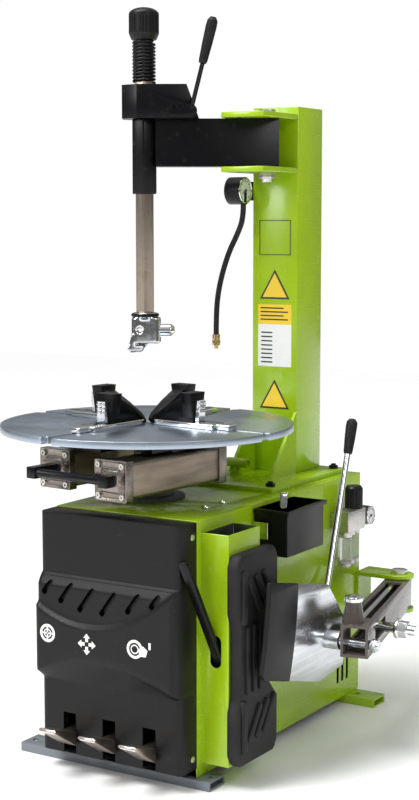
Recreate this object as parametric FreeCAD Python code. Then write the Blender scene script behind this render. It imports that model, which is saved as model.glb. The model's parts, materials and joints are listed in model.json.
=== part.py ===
"""Swing-arm tyre changer, in millimetres.

+X is the operator's right, +Y points from the operator to the column and +Z is up.
The origin is the centre of the four floor anchor holes, on the floor.
"""
import FreeCAD, Part
import math
import os

V = FreeCAD.Vector

# ---- driving dimensions -------------------------------------------------------------
# feet and floor anchors
ANCHOR_X = 450.0            # spacing of the anchor holes across the machine
ANCHOR_Y = 682.0            # spacing of the anchor holes from front to rear
ANCHOR_HOLE_R = 7.0
FOOT_WIDTH = 60.0
FOOT_HEIGHT = 20.0
FOOT_WALL = 4.0
FOOT_OVERHANG = 18.0        # foot end beyond its anchor hole
REAR_FOOT_EXTRA = 40.0      # the rear foot reaches further right, under the breaker
# cabinet
CABINET_WIDTH = 352.0
CABINET_DEPTH = 740.0
CABINET_X = 31.0            # centre of the cabinet
CABINET_Y = 9.0
DECK_Z = 555.0              # top of the deck
DECK_PLATE = 6.0
SHEET = 3.0
DECK_HOLES = [(139.0, -216.0), (138.0, -145.0)]
DECK_HOLE_R = 6.0
VENT_STEPS = (60.0, 84.0, 108.0)     # side vents, forward from the cabinet's rear
VENT_LOW = 60.0
VENT_HIGH = 120.0
VENT_HALF = 6.0
LIP_WIDTH = 18.0            # lip that carries the cover's screws
COVER_GAP = 2.0             # cover's top below the deck
# front cover
COVER_DEPTH = 60.0
COVER_WALL = 4.0
COVER_BOTTOM = 40.0
BULGE_DEPTH = 26.0
BULGE_LOW = 185.0
BULGE_HIGH = 425.0
# turntable
TABLE_X = -40.0
TABLE_Y = -171.0
TABLE_RISE = 165.0          # table above the deck
TABLE_D = 640.0
TABLE_THICK = 15.0
TABLE_TURN = -6.0           # degrees that the jaw cross is turned at rest
HUB_R = 30.0
RUNNING = 0.05              # radial clearance of every running fit
CYLINDER_SIDE = 86.0        # square end caps of the clamp cylinders
CYLINDER_BODY = 78.0
CYLINDER_LENGTH = 340.0
CYLINDER_OFFSET = 100.0     # cylinder axis from the table's axis
CYLINDER_STAGGER = 24.0
CAP_LENGTH = 26.0
JAW_COUNT = 4
JAW_WIDTH = 52.0
JAW_SLIDE_LENGTH = 197.0
JAW_SLIDE_THICK = 12.0
CLAW_WIDTH = 30.0
CLAW_HEIGHT = 62.0
JAW_GAP = 12.0              # jaw tip from the table's axis when closed
# column and bracket
COLUMN_SIDE = 120.0
COLUMN_WALL = 5.0
COLUMN_X = 50.0
COLUMN_Y = 294.0
COLUMN_TOP = 1420.0
BASE_PLATE_X = 270.0
BASE_PLATE_Y = 360.0
BASE_PLATE_THICK = 10.0
GUSSET_LENGTH = 119.0
GUSSET_HEIGHT = 144.0
GUSSET_THICK = 8.0
HOSE_GUIDE_X = -14.0        # left end of the guide tube
HOSE_GUIDE_Y = 128.0        # clear of the circle that the clamp cylinders sweep
HOSE_GUIDE_RISE = 41.0      # guide tube above the deck
HOSE_GUIDE_LENGTH = 56.0
HOSE_GUIDE_WALL = 3.0
HOSE_GUIDE_POST = 8.0
HOSE_GUIDE_R = 11.0
BRACKET_REACH = 158.0
BRACKET_PLATE = 12.0
# swing arm, sleeve and mounting shaft
ARM_PIVOT_X = 64.0
ARM_PIVOT_Y = 169.0
ARM_REACH = 281.0           # pivot to mounting shaft
ARM_REST_ANGLE = 211.2      # degrees from +X
ARM_BOTTOM = 1281.0
ARM_HEIGHT = 108.0
ARM_WIDTH = 60.0
ARM_WALL = 5.0
ARM_TAIL = 27.0             # arm beyond its pivot
ARM_GAP = 1.0               # play between the arm and each bracket plate
PIN_R = 12.0
SHAFT_AF = 40.0             # hexagonal mounting shaft, across flats
SLEEVE_AF = 54.0
SLEEVE_BOTTOM = 1219.0
SHAFT_BOTTOM = 947.0
CLAMP_HEIGHT = 76.0
CLAMP_LEFT = 50.0
CLAMP_RIGHT = 126.0
CLAMP_SLOPE = 28.0          # the end of the clamp block leans in by this much
CLAMP_HALF_WIDTH = 46.0
SPRING_CLEARANCE = 0.506    # spring wire to the corners of the shaft
SPRING_WIRE_R = 3.4
SPRING_TURNS = 12
SPRING_LENGTH = 100.0
CAP_R = 35.5
CAP_HEIGHT = 62.0
CAP_DOME = 11.0
LOCK_PIN_R = 6.0
# mounting head
HEAD_HEIGHT = 76.0
COLLAR_R = 29.0
COLLAR_HEIGHT = 12.0
# wheel support
SUPPORT_WIDTH = 66.0
SUPPORT_DEPTH = 126.0
SUPPORT_FRONT = -345.0
SUPPORT_LOW = 48.0
SUPPORT_HIGH = 530.0
PAD_THICK = 30.0
PAD_WIDTH = 165.0
PAD_LOW = 52.0
PAD_HEIGHT = 440.0
SLOT_OUT = 35.0             # lever slot from the cabinet's side
SLOT_R = 13.0
SLOT_LOW = 266.0
SLOT_HIGH = 307.0
# tyre lever: its tip hooks into the support and its shank leans on the cover's side
LEVER_TIP = (3.0, -335.0, 266.0)        # x is measured from the slot
LEVER_END = (-24.0, -424.0, 477.0)
LEVER_WIDTH = 20.0
LEVER_THICK = 10.0
# tool tray
TRAY_WIDTH = 80.0
TRAY_DEPTH = 165.0
TRAY_HEIGHT = 100.0
TRAY_FRONT = -135.0
TRAY_DROP = 7.0             # tray's rim below the deck
TRAY_WALL = 3.0
# bead breaker
BREAKER_PIVOT_OUT = 99.0    # pivot from the cabinet's side
BREAKER_PIVOT_Y = 395.0
BREAKER_ANGLE = 13.6        # degrees that the arm stands out from the machine
BREAKER_OPENING = 18.0      # degrees that the arm swings open
BREAKER_LENGTH = 480.0
BREAKER_WIDTH = 60.0
BREAKER_HEIGHT = 70.0
BREAKER_LOW = 235.0
BREAKER_WALL = 6.0
BREAKER_PLATE = 10.0
BREAKER_PIN_R = 14.0
ROD_Y = 79.0
ROD_R = 11.0
ROD_OUT = 287.0             # end of the cylinder's rod from the cabinet's side
BLADE_OUT = 143.0           # middle of the blade's sheet at its hinge, from the cabinet's side
BLADE_FRONT = -325.0
BLADE_REAR = 48.0
BLADE_HIGH = 434.0
BLADE_THICK = 8.0
BLADE_RADIUS = 1400.0        # the sheet curls in towards the machine at its foot
BLADE_LOW = 167.0
BLADE_TANGENT_Z = 400.0      # height at which the sheet stands upright
SPINE_HIGH = 318.0
HINGE_Y = -51.0
HINGE_Z = 262.0
HINGE_R = 10.0
LEVER_R = 6.5
KNUCKLE_OUT = 52.0          # knuckle from the blade's sheet
KNUCKLE_Y = -42.0
KNUCKLE_HIGH = 350.0
# pedals
PEDAL_COUNT = 3
PEDAL_PITCH = 100.5
PEDAL_MIDDLE = 29.0
PEDAL_SLOT = 32.0
PEDAL_SLOT_RISE = 36.0      # slot's top above the pedals' pivot
PEDAL_ARM = 24.0
PEDAL_PLATE = 43.0
PEDAL_PIVOT_Y = -255.0
PEDAL_PIVOT_Z = 92.0
PEDAL_TIP_Y = -500.0
PEDAL_REAR_Y = -428.0       # rear of the pedal's plate, clear of the cover when pressed
PEDAL_PIN_R = 8.0
# inflation gauge and hose
GAUGE_R = 32.0
GAUGE_Y = 199.0
GAUGE_Z = 1228.0
HOSE_R = 6.5
HOSE_POINTS = [
    (-16, 199, 1196), (-16, 199, 1163), (-34, 200, 1124), (-55, 201, 1088),
    (-73, 202, 1042), (-87, 203, 992), (-93, 203, 940), (-93, 203, 888),
]

# ---- derived places -----------------------------------------------------------------
CABINET_LEFT = CABINET_X - CABINET_WIDTH / 2
CABINET_RIGHT = CABINET_X + CABINET_WIDTH / 2
CABINET_FRONT = CABINET_Y - CABINET_DEPTH / 2
CABINET_REAR = CABINET_Y + CABINET_DEPTH / 2
TABLE_TOP = DECK_Z + TABLE_RISE
HOSE_GUIDE_Z = DECK_Z + HOSE_GUIDE_RISE
TRAY_TOP = DECK_Z - TRAY_DROP
SLOT_X = CABINET_RIGHT + SLOT_OUT
BREAKER_PIVOT_X = CABINET_RIGHT + BREAKER_PIVOT_OUT
BLADE_X = CABINET_RIGHT + BLADE_OUT
KNUCKLE_X = BLADE_X + KNUCKLE_OUT
ROD_END = CABINET_RIGHT + ROD_OUT
SPRING_R = SHAFT_AF / math.sqrt(3.0) + SPRING_WIRE_R + SPRING_CLEARANCE
COLUMN_FRONT = COLUMN_Y - COLUMN_SIDE / 2
COLUMN_RIGHT = COLUMN_X + COLUMN_SIDE / 2
BRACKET_LOW_TOP = ARM_BOTTOM - ARM_GAP
BRACKET_HIGH_LOW = ARM_BOTTOM + ARM_HEIGHT + ARM_GAP
ARM_TOP = ARM_BOTTOM + ARM_HEIGHT
CLAMP_TOP = ARM_TOP + CLAMP_HEIGHT
SPRING_BASE = CLAMP_TOP + 2.0
CAP_LOW = SPRING_BASE + SPRING_LENGTH
SHAFT_TOP = CAP_LOW + CAP_HEIGHT - 6.0
HEAD_LOW = SHAFT_BOTTOM - HEAD_HEIGHT
SUPPORT_LEFT = CABINET_RIGHT
SUPPORT_RIGHT = SUPPORT_LEFT + SUPPORT_WIDTH
BREAKER_MID_Z = BREAKER_LOW + BREAKER_HEIGHT / 2
ARM_DIR = math.radians(ARM_REST_ANGLE)


# ---- small helpers ------------------------------------------------------------------
def block(x0, x1, y0, y1, z0, z1):
    """A box between two corners."""
    return Part.makeBox(x1 - x0, y1 - y0, z1 - z0, V(x0, y0, z0))


def rod(x, y, z, radius, length, direction=(0, 0, 1)):
    """A round bar from a point along a direction."""
    return Part.makeCylinder(radius, length, V(x, y, z), V(*direction))


def prism(points, low, high):
    """An upright prism over a polygon given as (x, y)."""
    wire = Part.makePolygon([V(x, y, low) for x, y in points + points[:1]])
    return Part.Face(wire).extrude(V(0, 0, high - low))


def side_prism(points, x0, x1):
    """A prism along X over a polygon given as (y, z)."""
    wire = Part.makePolygon([V(x0, y, z) for y, z in points + points[:1]])
    return Part.Face(wire).extrude(V(x1 - x0, 0, 0))


def front_prism(points, y0, y1):
    """A prism along Y over a polygon given as (x, z)."""
    wire = Part.makePolygon([V(x, y0, z) for x, z in points + points[:1]])
    return Part.Face(wire).extrude(V(0, y1 - y0, 0))


def hexagon(across_flats, low, high, x=0.0, y=0.0):
    """A hexagonal bar with two flats facing along X."""
    corner = across_flats / math.sqrt(3)
    angles = [math.radians(30 + 60 * step) for step in range(6)]
    return prism([(x + corner * math.cos(a), y + corner * math.sin(a)) for a in angles], low, high)


def aim(shape, direction, place):
    """Turn a shape whose shank points along -Z so that it points along direction, then place it."""
    turned = shape.copy()
    turned.Placement = FreeCAD.Placement(V(*place), FreeCAD.Rotation(V(0, 0, -1), V(*direction)))
    return turned


def turned(shape, angle, x, y):
    """The shape turned about an upright axis."""
    result = shape.copy()
    result.rotate(V(x, y, 0), V(0, 0, 1), angle)
    return result


def moved(shape, x, y, z=0.0):
    """The shape shifted."""
    result = shape.copy()
    result.translate(V(x, y, z))
    return result


def rounded(shape, radius):
    """Round the upright edges of a box-like shape."""
    edges = [e for e in shape.Edges if abs(e.BoundBox.ZLength - e.Length) < 1e-6]
    return shape.makeFillet(radius, edges)


def tube_box(x0, x1, y0, y1, z0, z1, wall):
    """An upright square tube, open at both ends."""
    inner = block(x0 + wall, x1 - wall, y0 + wall, y1 - wall, z0 - 1, z1 + 1)
    return block(x0, x1, y0, y1, z0, z1).cut(inner)


def solids(*shapes):
    """Separate solids kept in one node."""
    return Part.makeCompound(list(shapes))


def save(node, shape):
    """Write one node's STEP file."""
    clean = shape.removeSplitter() if shape.ShapeType == "Solid" else shape
    clean.exportStep("parts/" + node + ".step")


# ---- feet, cabinet and cover --------------------------------------------------------
def foot(y, right_extra):
    left = -ANCHOR_X / 2 - FOOT_OVERHANG
    right = ANCHOR_X / 2 + FOOT_OVERHANG + right_extra
    half = FOOT_WIDTH / 2
    bar = block(left, right, y - half, y + half, 0, FOOT_HEIGHT)
    bar = bar.cut(block(left - 1, right + 1, y - half + FOOT_WALL, y + half - FOOT_WALL,
                        FOOT_WALL, FOOT_HEIGHT - FOOT_WALL))
    for x in (-ANCHOR_X / 2, ANCHOR_X / 2):
        bar = bar.cut(rod(x, y, -1, ANCHOR_HOLE_R, FOOT_HEIGHT + 2))
    return bar


def cabinet_shell():
    outer = block(CABINET_LEFT, CABINET_RIGHT, CABINET_FRONT, CABINET_REAR, FOOT_HEIGHT, DECK_Z)
    inner = block(CABINET_LEFT + SHEET, CABINET_RIGHT - SHEET, CABINET_FRONT - 1,
                  CABINET_REAR - SHEET, FOOT_HEIGHT - 1, DECK_Z - DECK_PLATE)
    shell = outer.cut(inner)
    shell = shell.cut(rod(TABLE_X, TABLE_Y, DECK_Z - 20, HUB_R + 12, 40))
    shell = shell.cut(rod(CABINET_RIGHT - 20, ROD_Y, BREAKER_MID_Z, ROD_R + 6, 40, (1, 0, 0)))
    for x, y in DECK_HOLES:
        shell = shell.cut(rod(x, y, DECK_Z - 20, DECK_HOLE_R, 40))
    for step in VENT_STEPS:
        y = CABINET_REAR - step
        shell = shell.cut(block(CABINET_RIGHT - 20, CABINET_RIGHT + 5, y - VENT_HALF, y + VENT_HALF,
                                VENT_LOW, VENT_HIGH))
    # a lip turned in along each side of the open front carries the cover's screws
    for x0 in (CABINET_LEFT + SHEET, CABINET_RIGHT - SHEET - LIP_WIDTH):
        shell = shell.fuse(block(x0, x0 + LIP_WIDTH, CABINET_FRONT, CABINET_FRONT + SHEET,
                                 FOOT_HEIGHT + 20, DECK_Z - DECK_PLATE))
    return shell


def pedal_x(index):
    return PEDAL_MIDDLE + (index - (PEDAL_COUNT - 1) / 2) * PEDAL_PITCH


def front_cover():
    front = CABINET_FRONT - COVER_DEPTH
    top = DECK_Z - COVER_GAP
    outer = block(CABINET_LEFT, CABINET_RIGHT, front, CABINET_FRONT, COVER_BOTTOM, top)
    middle = (BULGE_LOW + BULGE_HIGH) / 2
    half = (BULGE_HIGH - BULGE_LOW) / 2
    bulge_points = [(front + 1, middle - half), (front - BULGE_DEPTH, middle - half * 0.45),
                    (front - BULGE_DEPTH, middle + half * 0.62), (front + 1, middle + half)]
    outer = outer.fuse(side_prism(bulge_points, CABINET_LEFT, CABINET_RIGHT))
    inner = block(CABINET_LEFT + COVER_WALL, CABINET_RIGHT - COVER_WALL, front + COVER_WALL,
                  CABINET_FRONT + 1, COVER_BOTTOM - 1, top - COVER_WALL)
    inner_points = [(front + COVER_WALL + 1, middle - half + COVER_WALL),
                    (front - BULGE_DEPTH + COVER_WALL, middle - half * 0.45 + COVER_WALL / 2),
                    (front - BULGE_DEPTH + COVER_WALL, middle + half * 0.62 - COVER_WALL / 2),
                    (front + COVER_WALL + 1, middle + half - COVER_WALL)]
    inner = inner.fuse(side_prism(inner_points, CABINET_LEFT + COVER_WALL, CABINET_RIGHT - COVER_WALL))
    cover = outer.cut(inner)
    for index in range(PEDAL_COUNT):
        x = pedal_x(index)
        cover = cover.cut(block(x - PEDAL_SLOT / 2, x + PEDAL_SLOT / 2, front - 5,
                                front + COVER_WALL + 5, COVER_BOTTOM - 1,
                                PEDAL_PIVOT_Z + PEDAL_SLOT_RISE))
    return cover


def cover_screws():
    screws = []
    for z in (COVER_BOTTOM + 25, DECK_Z - 30):
        for x, way in ((CABINET_LEFT, 1), (CABINET_RIGHT, -1)):
            y = CABINET_FRONT - 18
            head = rod(x - way * 3.0, y, z, 6.5, 3.0, (way, 0, 0))
            screws.append(head)
    return solids(*screws)


# ---- column and bracket -------------------------------------------------------------
def column():
    low = DECK_Z + BASE_PLATE_THICK
    half = COLUMN_SIDE / 2
    box = tube_box(COLUMN_X - half, COLUMN_X + half, COLUMN_Y - half, COLUMN_Y + half,
                   low, COLUMN_TOP, COLUMN_WALL)
    lid = block(COLUMN_X - half, COLUMN_X + half, COLUMN_Y - half, COLUMN_Y + half,
                COLUMN_TOP - COLUMN_WALL, COLUMN_TOP)
    return box.fuse(lid)


BASE_RIGHT = COLUMN_RIGHT + 65.0
BASE_LEFT = BASE_RIGHT - BASE_PLATE_X
BASE_REAR = CABINET_REAR - 10.0
BASE_FRONT = BASE_REAR - BASE_PLATE_Y


def base_bolt_places():
    xs = (BASE_LEFT + 22, BASE_RIGHT - 22)
    ys = (BASE_FRONT + 26, BASE_REAR - 26)
    return [(x, y) for x in xs for y in ys]


def column_base():
    plate = rounded(block(BASE_LEFT, BASE_RIGHT, BASE_FRONT, BASE_REAR, DECK_Z,
                          DECK_Z + BASE_PLATE_THICK), 8)
    z = DECK_Z + BASE_PLATE_THICK
    outline = [(COLUMN_FRONT, z), (COLUMN_FRONT - GUSSET_LENGTH, z), (COLUMN_FRONT, z + GUSSET_HEIGHT)]
    for x in (COLUMN_RIGHT - GUSSET_THICK, COLUMN_X - COLUMN_SIDE / 2):
        plate = plate.fuse(side_prism(outline, x, x + GUSSET_THICK))
    # an open-ended tube on a post guides the air hoses past the turntable
    post = HOSE_GUIDE_X + HOSE_GUIDE_LENGTH / 2
    plate = plate.fuse(block(post - HOSE_GUIDE_POST / 2, post + HOSE_GUIDE_POST / 2,
                             HOSE_GUIDE_Y - 6, HOSE_GUIDE_Y + 6, z - 1, HOSE_GUIDE_Z - 4))
    guide = rod(HOSE_GUIDE_X, HOSE_GUIDE_Y, HOSE_GUIDE_Z, HOSE_GUIDE_R, HOSE_GUIDE_LENGTH, (1, 0, 0))
    bore = rod(HOSE_GUIDE_X - 1, HOSE_GUIDE_Y, HOSE_GUIDE_Z, HOSE_GUIDE_R - HOSE_GUIDE_WALL,
               HOSE_GUIDE_LENGTH + 2, (1, 0, 0))
    return plate.fuse(guide).cut(bore)


def column_bolts():
    z = DECK_Z + BASE_PLATE_THICK
    return solids(*[hexagon(19, z, z + 8, x, y).fuse(rod(x, y, z, 6, 12)) for x, y in base_bolt_places()])


def bracket_outline():
    """Plate outline: flush with the column's sides, with two rounded front corners."""
    half = COLUMN_SIDE / 2
    left, right = COLUMN_X - half, COLUMN_X + half
    front = COLUMN_FRONT - BRACKET_REACH
    cut = 16.0
    return [(left, COLUMN_FRONT), (left, front + cut), (left + cut * 0.3, front + cut * 0.3),
            (left + cut, front), (right - cut, front), (right - cut * 0.3, front + cut * 0.3),
            (right, front + cut), (right, COLUMN_FRONT)]


def arm_bracket():
    plates = []
    for low in (BRACKET_LOW_TOP - BRACKET_PLATE, BRACKET_HIGH_LOW):
        plate = prism(bracket_outline(), low, low + BRACKET_PLATE)
        plates.append(plate.cut(rod(ARM_PIVOT_X, ARM_PIVOT_Y, low - 1, PIN_R, BRACKET_PLATE + 2)))
    return solids(*plates)


def arm_pivot():
    low = BRACKET_LOW_TOP - BRACKET_PLATE
    high = BRACKET_HIGH_LOW + BRACKET_PLATE
    pin = rod(ARM_PIVOT_X, ARM_PIVOT_Y, low - 22, PIN_R, high - low + 22)
    head = hexagon(34, high, high + 9, ARM_PIVOT_X, ARM_PIVOT_Y)
    nut = hexagon(34, low - 14, low, ARM_PIVOT_X, ARM_PIVOT_Y)
    return pin.fuse(head).fuse(nut)


# ---- swing arm (drawn along +X from its pivot at the origin, then turned) -------------
def place_arm(shape):
    return moved(turned(shape, ARM_REST_ANGLE, 0, 0), ARM_PIVOT_X, ARM_PIVOT_Y)


def swing_arm():
    half = ARM_WIDTH / 2
    end = ARM_REACH - SLEEVE_AF / 2
    body = block(-ARM_TAIL, end, -half, half, ARM_BOTTOM, ARM_TOP)
    body = body.cut(block(-ARM_TAIL - 1, end - 6, -half + ARM_WALL, half - ARM_WALL,
                          ARM_BOTTOM + ARM_WALL, ARM_TOP - ARM_WALL))
    boss = rod(0, 0, ARM_BOTTOM, PIN_R + 10, ARM_HEIGHT)
    body = body.fuse(boss)
    return place_arm(body.cut(rod(0, 0, ARM_BOTTOM - 1, PIN_R + RUNNING, ARM_HEIGHT + 2)))


def arm_sleeve():
    outer = hexagon(SLEEVE_AF, SLEEVE_BOTTOM, ARM_TOP, ARM_REACH, 0)
    bore = hexagon(SHAFT_AF + 2 * RUNNING, SLEEVE_BOTTOM - 1, ARM_TOP + 1, ARM_REACH, 0)
    return place_arm(outer.cut(bore))


LOCK_U = 108.0              # lock lever pin from the shaft, towards the pivot


def clamp_block():
    width = CLAMP_HALF_WIDTH
    outline = [(-CLAMP_LEFT, -width * 0.45), (-CLAMP_LEFT * 0.3, -width), (CLAMP_RIGHT - 14, -width),
               (CLAMP_RIGHT, -width * 0.6), (CLAMP_RIGHT, width * 0.6), (CLAMP_RIGHT - 14, width),
               (-CLAMP_LEFT * 0.3, width), (-CLAMP_LEFT, width * 0.45)]
    outline = [(ARM_REACH - u, v) for u, v in outline]
    body = prism(outline, ARM_TOP, CLAMP_TOP)
    body = body.cut(hexagon(SHAFT_AF + 2 * RUNNING, ARM_TOP - 1, CLAMP_TOP + 1, ARM_REACH, 0))
    end = [(CLAMP_RIGHT + 1, ARM_TOP), (CLAMP_RIGHT, ARM_TOP), (CLAMP_RIGHT - CLAMP_SLOPE, CLAMP_TOP),
           (CLAMP_RIGHT - CLAMP_SLOPE, CLAMP_TOP + 1), (CLAMP_RIGHT + 1, CLAMP_TOP + 1)]
    body = body.cut(front_prism([(ARM_REACH - u, z) for u, z in end], -width - 1, width + 1))
    pin = rod(ARM_REACH - LOCK_U, -width - 1, LOCK_Z, LOCK_PIN_R + RUNNING, 2 * width + 2, (0, 1, 0))
    return place_arm(body.cut(pin))


LOCK_SIDE = CLAMP_HALF_WIDTH + 0.5
LOCK_Z = ARM_TOP + 16.0
LOCK_LENGTH = 172.0
LOCK_LEAN = 14.0


def lock_frame(shape):
    """Lean the lock lever towards the pivot and put it beside the clamp block."""
    result = shape.copy()
    result.rotate(V(0, 0, 0), V(0, 1, 0), -LOCK_LEAN)
    return place_arm(moved(result, ARM_REACH - LOCK_U, 0, LOCK_Z))


def lock_lever():
    pin = rod(0, -CLAMP_HALF_WIDTH - 12, 0, LOCK_PIN_R, 2 * CLAMP_HALF_WIDTH + 16, (0, 1, 0))
    cheek = rod(0, LOCK_SIDE, 0, 14, 11, (0, 1, 0))
    # the cam plate has a saw-toothed top edge and lies level while the lock is on
    edge = [(-4, -13), (46, -13), (50, -4), (44, 10), (37, 1), (31, 13), (24, 3), (17, 14), (10, 5), (-4, 12)]
    cam = front_prism(edge, LOCK_SIDE, LOCK_SIDE + 11)
    cam.rotate(V(0, 0, 0), V(0, 1, 0), LOCK_LEAN)
    bar = rod(0, LOCK_SIDE + 5.5, 10, 5.0, LOCK_LENGTH - 10)
    return lock_frame(pin.fuse(cheek).fuse(cam).fuse(bar))


def lock_grip():
    grip = Part.makeCone(8.5, 13.0, 84, V(0, LOCK_SIDE + 5.5, LOCK_LENGTH - 65))
    grip = grip.fuse(Part.makeCone(13.0, 7.0, 22, V(0, LOCK_SIDE + 5.5, LOCK_LENGTH + 19)))
    return lock_frame(grip.cut(rod(0, LOCK_SIDE + 5.5, 0, 5.0, LOCK_LENGTH)))


def hex_shaft():
    return place_arm(hexagon(SHAFT_AF, SHAFT_BOTTOM, SHAFT_TOP, ARM_REACH, 0))


def shaft_cap():
    cap = rod(ARM_REACH, 0, CAP_LOW, CAP_R, CAP_HEIGHT)
    dome_r = (CAP_R ** 2 + CAP_DOME ** 2) / (2 * CAP_DOME)
    top = CAP_LOW + CAP_HEIGHT
    ball = Part.makeSphere(dome_r, V(ARM_REACH, 0, top + CAP_DOME - dome_r))
    dome = ball.common(rod(ARM_REACH, 0, top - 1, CAP_R, CAP_DOME + 2))
    cap = cap.fuse(dome)
    return place_arm(cap.cut(hexagon(SHAFT_AF, CAP_LOW - 1, SHAFT_TOP, ARM_REACH, 0)))


def return_spring():
    """A close-wound coil, drawn as its sleeve of stacked rings."""
    pitch = SPRING_LENGTH / SPRING_TURNS
    outer = rod(ARM_REACH, 0, SPRING_BASE, SPRING_R - SPRING_WIRE_R, SPRING_LENGTH)
    for turn in range(SPRING_TURNS):
        z = SPRING_BASE + pitch * turn + pitch / 2
        outer = outer.fuse(rod(ARM_REACH, 0, z - SPRING_WIRE_R * 0.8, SPRING_R, SPRING_WIRE_R * 1.6))
    bore = rod(ARM_REACH, 0, SPRING_BASE - 1, SHAFT_AF / math.sqrt(3) + 0.4, SPRING_LENGTH + 2)
    return place_arm(outer.cut(bore))


def mount_head():
    """Cast head: collar under the shaft, a body block and the duck-bill foot."""
    x = ARM_REACH
    collar = rod(x, 0, SHAFT_BOTTOM - COLLAR_HEIGHT, COLLAR_R, COLLAR_HEIGHT)
    body = rounded(block(x - 36, x + 31, -26, 26, HEAD_LOW + 4, SHAFT_BOTTOM - COLLAR_HEIGHT), 14)
    bill_points = [(x - 12, HEAD_LOW + 10), (x + 8, HEAD_LOW - 16), (x + 34, HEAD_LOW - 18),
                   (x + 42, HEAD_LOW - 10), (x + 36, HEAD_LOW + 4), (x + 31, HEAD_LOW + 26)]
    bill = front_prism(bill_points, -24, 24)
    head = collar.fuse(body).fuse(bill)
    pocket = rod(x - 36, 0, HEAD_LOW + 34, 15 + 0.3, 40, (1, 0, 0))
    screw = rod(x + 12, -40, HEAD_LOW + 34, 6, 80, (0, 1, 0))
    return place_arm(head.cut(pocket).cut(screw))


def head_roller():
    roller = rod(ARM_REACH - 60, 0, HEAD_LOW + 34, 15, 62, (1, 0, 0))
    tip = Part.makeCone(9, 15, 8, V(ARM_REACH - 68, 0, HEAD_LOW + 34), V(1, 0, 0))
    return place_arm(roller.fuse(tip))


# ---- turntable (drawn about its own axis, then moved) ---------------------------------
def place_table(shape, angle=0.0):
    return moved(turned(shape, TABLE_TURN + angle, 0, 0), TABLE_X, TABLE_Y)


DISC_LOW = TABLE_TOP - TABLE_THICK
FRAME_HIGH = DISC_LOW - 10.0
FRAME_LOW = FRAME_HIGH - 20.0
CYL_Z = FRAME_LOW - 1.0 - CYLINDER_SIDE / 2
FRAME_REACH = 180.0
PIPE_R = 9.0
ELBOW_HALF = 12.0    # half width of the square elbows at the air pipe's ends
KEY_WIDTH = 14.0


def turntable_disc():
    disc = rod(0, 0, DISC_LOW, TABLE_D / 2, TABLE_THICK)
    slot = block(28, TABLE_D / 2 + 1, -KEY_WIDTH / 2 - 0.5, KEY_WIDTH / 2 + 0.5, DISC_LOW - 1, TABLE_TOP + 1)
    rim = block(TABLE_D / 2 - 14, TABLE_D / 2 + 1, -KEY_WIDTH, KEY_WIDTH, DISC_LOW - 1, TABLE_TOP + 1)
    for jaw in range(JAW_COUNT):
        disc = disc.cut(turned(slot, 90.0 * jaw, 0, 0)).cut(turned(rim, 90.0 * jaw, 0, 0))
    return place_table(disc.cut(rod(0, 0, DISC_LOW - 1, 12, TABLE_THICK + 2)))


def table_hub():
    ring = rod(0, 0, FRAME_HIGH, 52, DISC_LOW - FRAME_HIGH)
    shaft = rod(0, 0, DECK_Z - 70, HUB_R, FRAME_HIGH - DECK_Z + 70)
    return place_table(ring.fuse(shaft))


def table_frame():
    """Square guide frame that carries the clamp cylinders and the disc's arms."""
    arm = block(0, FRAME_REACH, -24, 24, FRAME_LOW, FRAME_HIGH)
    frame = rod(0, 0, FRAME_LOW, 70, FRAME_HIGH - FRAME_LOW)
    for jaw in range(JAW_COUNT):
        frame = frame.fuse(turned(arm, 90.0 * jaw, 0, 0))
    for side in (-1, 1):
        x = side * CYLINDER_OFFSET
        frame = frame.fuse(block(x - 22, x + 22, -130, 130, FRAME_LOW, FRAME_HIGH))
    frame = frame.cut(rod(0, 0, FRAME_LOW - 1, HUB_R, 60))
    # an air pipe joins the front caps of the two cylinders
    left_face, right_face = cylinder_span(-1)[0], cylinder_span(1)[0]
    pipe_y = min(left_face, right_face) - ELBOW_HALF
    pipe = rod(-CYLINDER_OFFSET, pipe_y, CYL_Z, PIPE_R, 2 * CYLINDER_OFFSET, (1, 0, 0))
    for side, face in ((-1, left_face), (1, right_face)):
        x = side * CYLINDER_OFFSET
        pipe = pipe.fuse(block(x - ELBOW_HALF, x + ELBOW_HALF, pipe_y - ELBOW_HALF, face,
                               CYL_Z - ELBOW_HALF, CYL_Z + ELBOW_HALF))
    return place_table(solids(frame, pipe))


def cylinder_span(side):
    start = -CYLINDER_LENGTH / 2 - 45 - side * CYLINDER_STAGGER
    return start, start + CYLINDER_LENGTH


def cylinder_bodies():
    tubes = []
    half = CYLINDER_BODY / 2
    for side in (-1, 1):
        start, end = cylinder_span(side)
        x = side * CYLINDER_OFFSET
        tube = block(x - half, x + half, start + CAP_LENGTH, end - CAP_LENGTH, CYL_Z - half, CYL_Z + half)
        edges = [e for e in tube.Edges if abs(e.BoundBox.YLength - e.Length) < 1e-6]
        tube = tube.makeFillet(9, edges)
        foot_pad = block(x - 20, x + 20, -60, 60, CYL_Z + half - 1, FRAME_LOW)
        tubes.append(place_table(tube.fuse(foot_pad)))
    return solids(*tubes)


def cylinder_caps():
    caps = []
    half = CYLINDER_SIDE / 2
    for side in (-1, 1):
        start, end = cylinder_span(side)
        x = side * CYLINDER_OFFSET
        for y0 in (start, end - CAP_LENGTH):
            cap = block(x - half, x + half, y0, y0 + CAP_LENGTH, CYL_Z - half, CYL_Z + half)
            edges = [e for e in cap.Edges if abs(e.BoundBox.YLength - e.Length) < 1e-6]
            caps.append(place_table(cap.makeFillet(11, edges)))
    return solids(*caps)


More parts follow.
